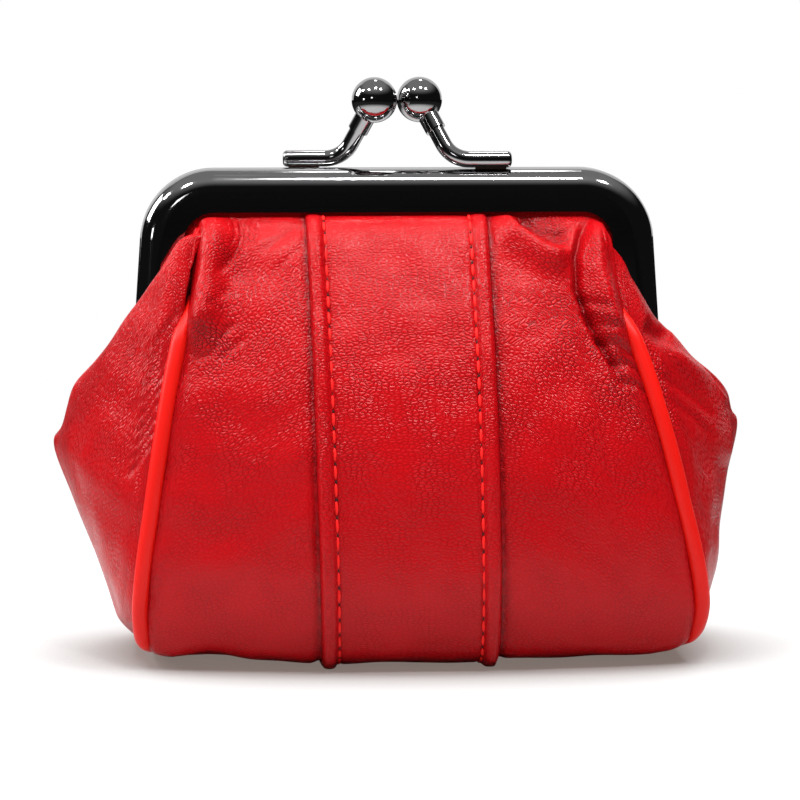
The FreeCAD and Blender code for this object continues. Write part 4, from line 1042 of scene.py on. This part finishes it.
class PURSE_OT_stage(bpy.types.Operator):
    """Sets the floor, the light and the camera."""

    bl_idname = "purse.stage"
    bl_label = "Stage"

    def execute(self, context):
        scene = context.scene
        scene.view_settings.view_transform = "Standard"
        self.floor()
        self.room()
        self.world(scene)
        self.lamps(scene)
        self.camera(scene)
        return {"FINISHED"}

    def floor(self):
        """A pale floor that keeps the purse's shadow and fades into the white background, with a painted
        shadow from ambient occlusion where the camera sees it near the purse.
        """
        material, bench = new_material("Pale floor")
        path = bench.add("LightPath").outputs
        place = bench.add("TexCoord").outputs["Object"]
        away = bench.add("VectorMath", {0: place}, operation="LENGTH").outputs["Value"]
        tone = bench.mix(path["Is Diffuse Ray"], grey(0.9), grey(0.5))
        mirrored = bench.math("MULTIPLY", path["Is Glossy Ray"], bench.range(away, 0.1, 0.26, 0.5))
        matte = bench.add("BsdfDiffuse", {"Color": bench.mix(mirrored, tone, grey(0.015))})
        # Painted shadow: near the purse the camera sees an emission darkened by ambient occlusion, mixed
        # with the lamp-lit floor.
        contact = bench.add("AmbientOcclusion", {"Distance": 0.055}).outputs["AO"]
        shadow = bench.mix(bench.range(contact, 0.3, 1.0), (0.25, 0.2, 0.18, 1.0), grey(1.0))
        white = bench.add("Emission", {"Color": shadow})
        share = bench.math("MULTIPLY", path["Is Camera Ray"], bench.range(away, 0.06, 0.2, 0.8))
        surface = bench.mix_shaders(share, matte.outputs["BSDF"], white.outputs["Emission"])
        bench.add("OutputMaterial", {"Surface": surface})
        bm = bmesh.new()
        bmesh.ops.create_grid(bm, x_segments=1, y_segments=1, size=FLOOR_HALF)
        new_piece("floor", bm, material)

    def room(self):
        """The dim room in front, dark below and grey at the ceiling, which only reflections show."""
        material, bench = new_material("Room")
        shine = bench.add("Emission", {"Strength": bench.attribute("glow")})
        bench.add("OutputMaterial", {"Surface": shine.outputs["Emission"]})
        bm = bmesh.new()
        bmesh.ops.create_grid(bm, x_segments=60, y_segments=40, size=1.0)
        glow = []
        for vert in bm.verts:
            rise = ROOM_RISE[0] + ROOM_RISE[1] * vert.co.y
            half = 135 + 45 * float(smooth_step(45.0, 55.0, rise))
            vert.co = aside(half * vert.co.x, rise) * ROOM_DISTANCE
            glow.append(0.012 + 0.4 * float(smooth_step(26.0, 60.0, rise)))
        room = new_piece("room", bm, material)
        room.data.attributes.new("glow", "FLOAT", "POINT").data.foreach_set("value", glow)
        for ray in ("camera", "diffuse", "transmission", "shadow"):
            setattr(room, f"visible_{ray}", False)

    def world(self, scene):
        """White where the camera and the metal look past the purse, softer for its light."""
        scene.world = bpy.data.worlds.new("Studio")
        scene.world.use_nodes = True
        scene.world.node_tree.nodes.clear()
        bench = NodeBench(scene.world.node_tree)
        path = bench.add("LightPath").outputs
        seen = bench.math("MAXIMUM", path["Is Camera Ray"], path["Is Glossy Ray"])
        seen = bench.math("MAXIMUM", seen, path["Is Transmission Ray"])
        soft = bench.add("Background", {"Color": grey(1.0), "Strength": WORLD_STRENGTH})
        white = bench.add("Background", {"Color": grey(1.0)})
        surface = bench.mix_shaders(seen, soft.outputs["Background"], white.outputs["Background"])
        bench.add("OutputWorld", {"Surface": surface})

    def lamps(self, scene):
        """A large softbox and a front fill that no reflection shows, and small lamps that glint."""
        self.lamp(scene, "softbox", Vector((0.0, 0.03, 0.6)), (0.6, 0.4), 6.8).visible_glossy = False
        self.lamp(scene, "front_fill", Vector((-0.2, -1.0, 0.3)), (0.6, 0.5), 0.1).visible_glossy = False
        for index, (azimuth, rise, wide, power) in enumerate(LAMPS):
            place = aside(azimuth, rise) * LAMP_DISTANCE
            self.lamp(scene, f"lamp_{index + 1}", place, (wide, wide), power)

    def lamp(self, scene, name, place, size, power):
        """One flat lamp that faces the purse."""
        lamp = bpy.data.lights.new(name, "AREA")
        lamp.shape = "RECTANGLE"
        lamp.size, lamp.size_y = size
        lamp.energy = power
        holder = bpy.data.objects.new(name, lamp)
        holder.location = place
        holder.rotation_euler = (Vector(LAMP_AIM) - place).to_track_quat("-Z", "Y").to_euler()
        scene.collection.objects.link(holder)
        return holder

    def camera(self, scene):
        """A long lens slightly above and to the left."""
        back = aside(*CAMERA_SIDE)
        lens = bpy.data.cameras.new("camera")
        lens.sensor_width = SENSOR_WIDTH
        lens.lens = FOCAL_LENGTH
        holder = bpy.data.objects.new("camera", lens)
        holder.location = Vector(CAMERA_AIM) + back * CAMERA_DISTANCE
        holder.rotation_euler = (-back).to_track_quat("-Z", "Y").to_euler()
        scene.collection.objects.link(holder)
        scene.camera = holder


OPERATORS = (
    PURSE_OT_leather,
    PURSE_OT_piping,
    PURSE_OT_stitches,
    PURSE_OT_lining,
    PURSE_OT_metal,
    PURSE_OT_stage,
)


class PURSE_PT_panel(bpy.types.Panel):
    """Lists the purse's pieces and settings."""

    bl_label = "Kiss Lock Purse"
    bl_idname = "PURSE_PT_panel"
    bl_space_type = "VIEW_3D"
    bl_region_type = "UI"
    bl_category = "Purse"

    def draw(self, context):
        for name in PurseLooks.__annotations__:
            self.layout.prop(context.scene.purse_looks, name)
        for operator in OPERATORS:
            self.layout.operator(operator.bl_idname)


CLASSES = (PurseLooks,) + OPERATORS + (PURSE_PT_panel,)


def register():
    for item in CLASSES:
        bpy.utils.register_class(item)
    bpy.types.Scene.purse_looks = bpy.props.PointerProperty(type=PurseLooks)


def unregister():
    del bpy.types.Scene.purse_looks
    for item in reversed(CLASSES):
        bpy.utils.unregister_class(item)


def main():
    """Builds every piece."""
    register()
    bpy.ops.purse.leather()
    bpy.ops.purse.piping()
    bpy.ops.purse.stitches()
    bpy.ops.purse.lining()
    bpy.ops.purse.metal()
    bpy.ops.purse.stage()


if __name__ == "__main__":
    main()
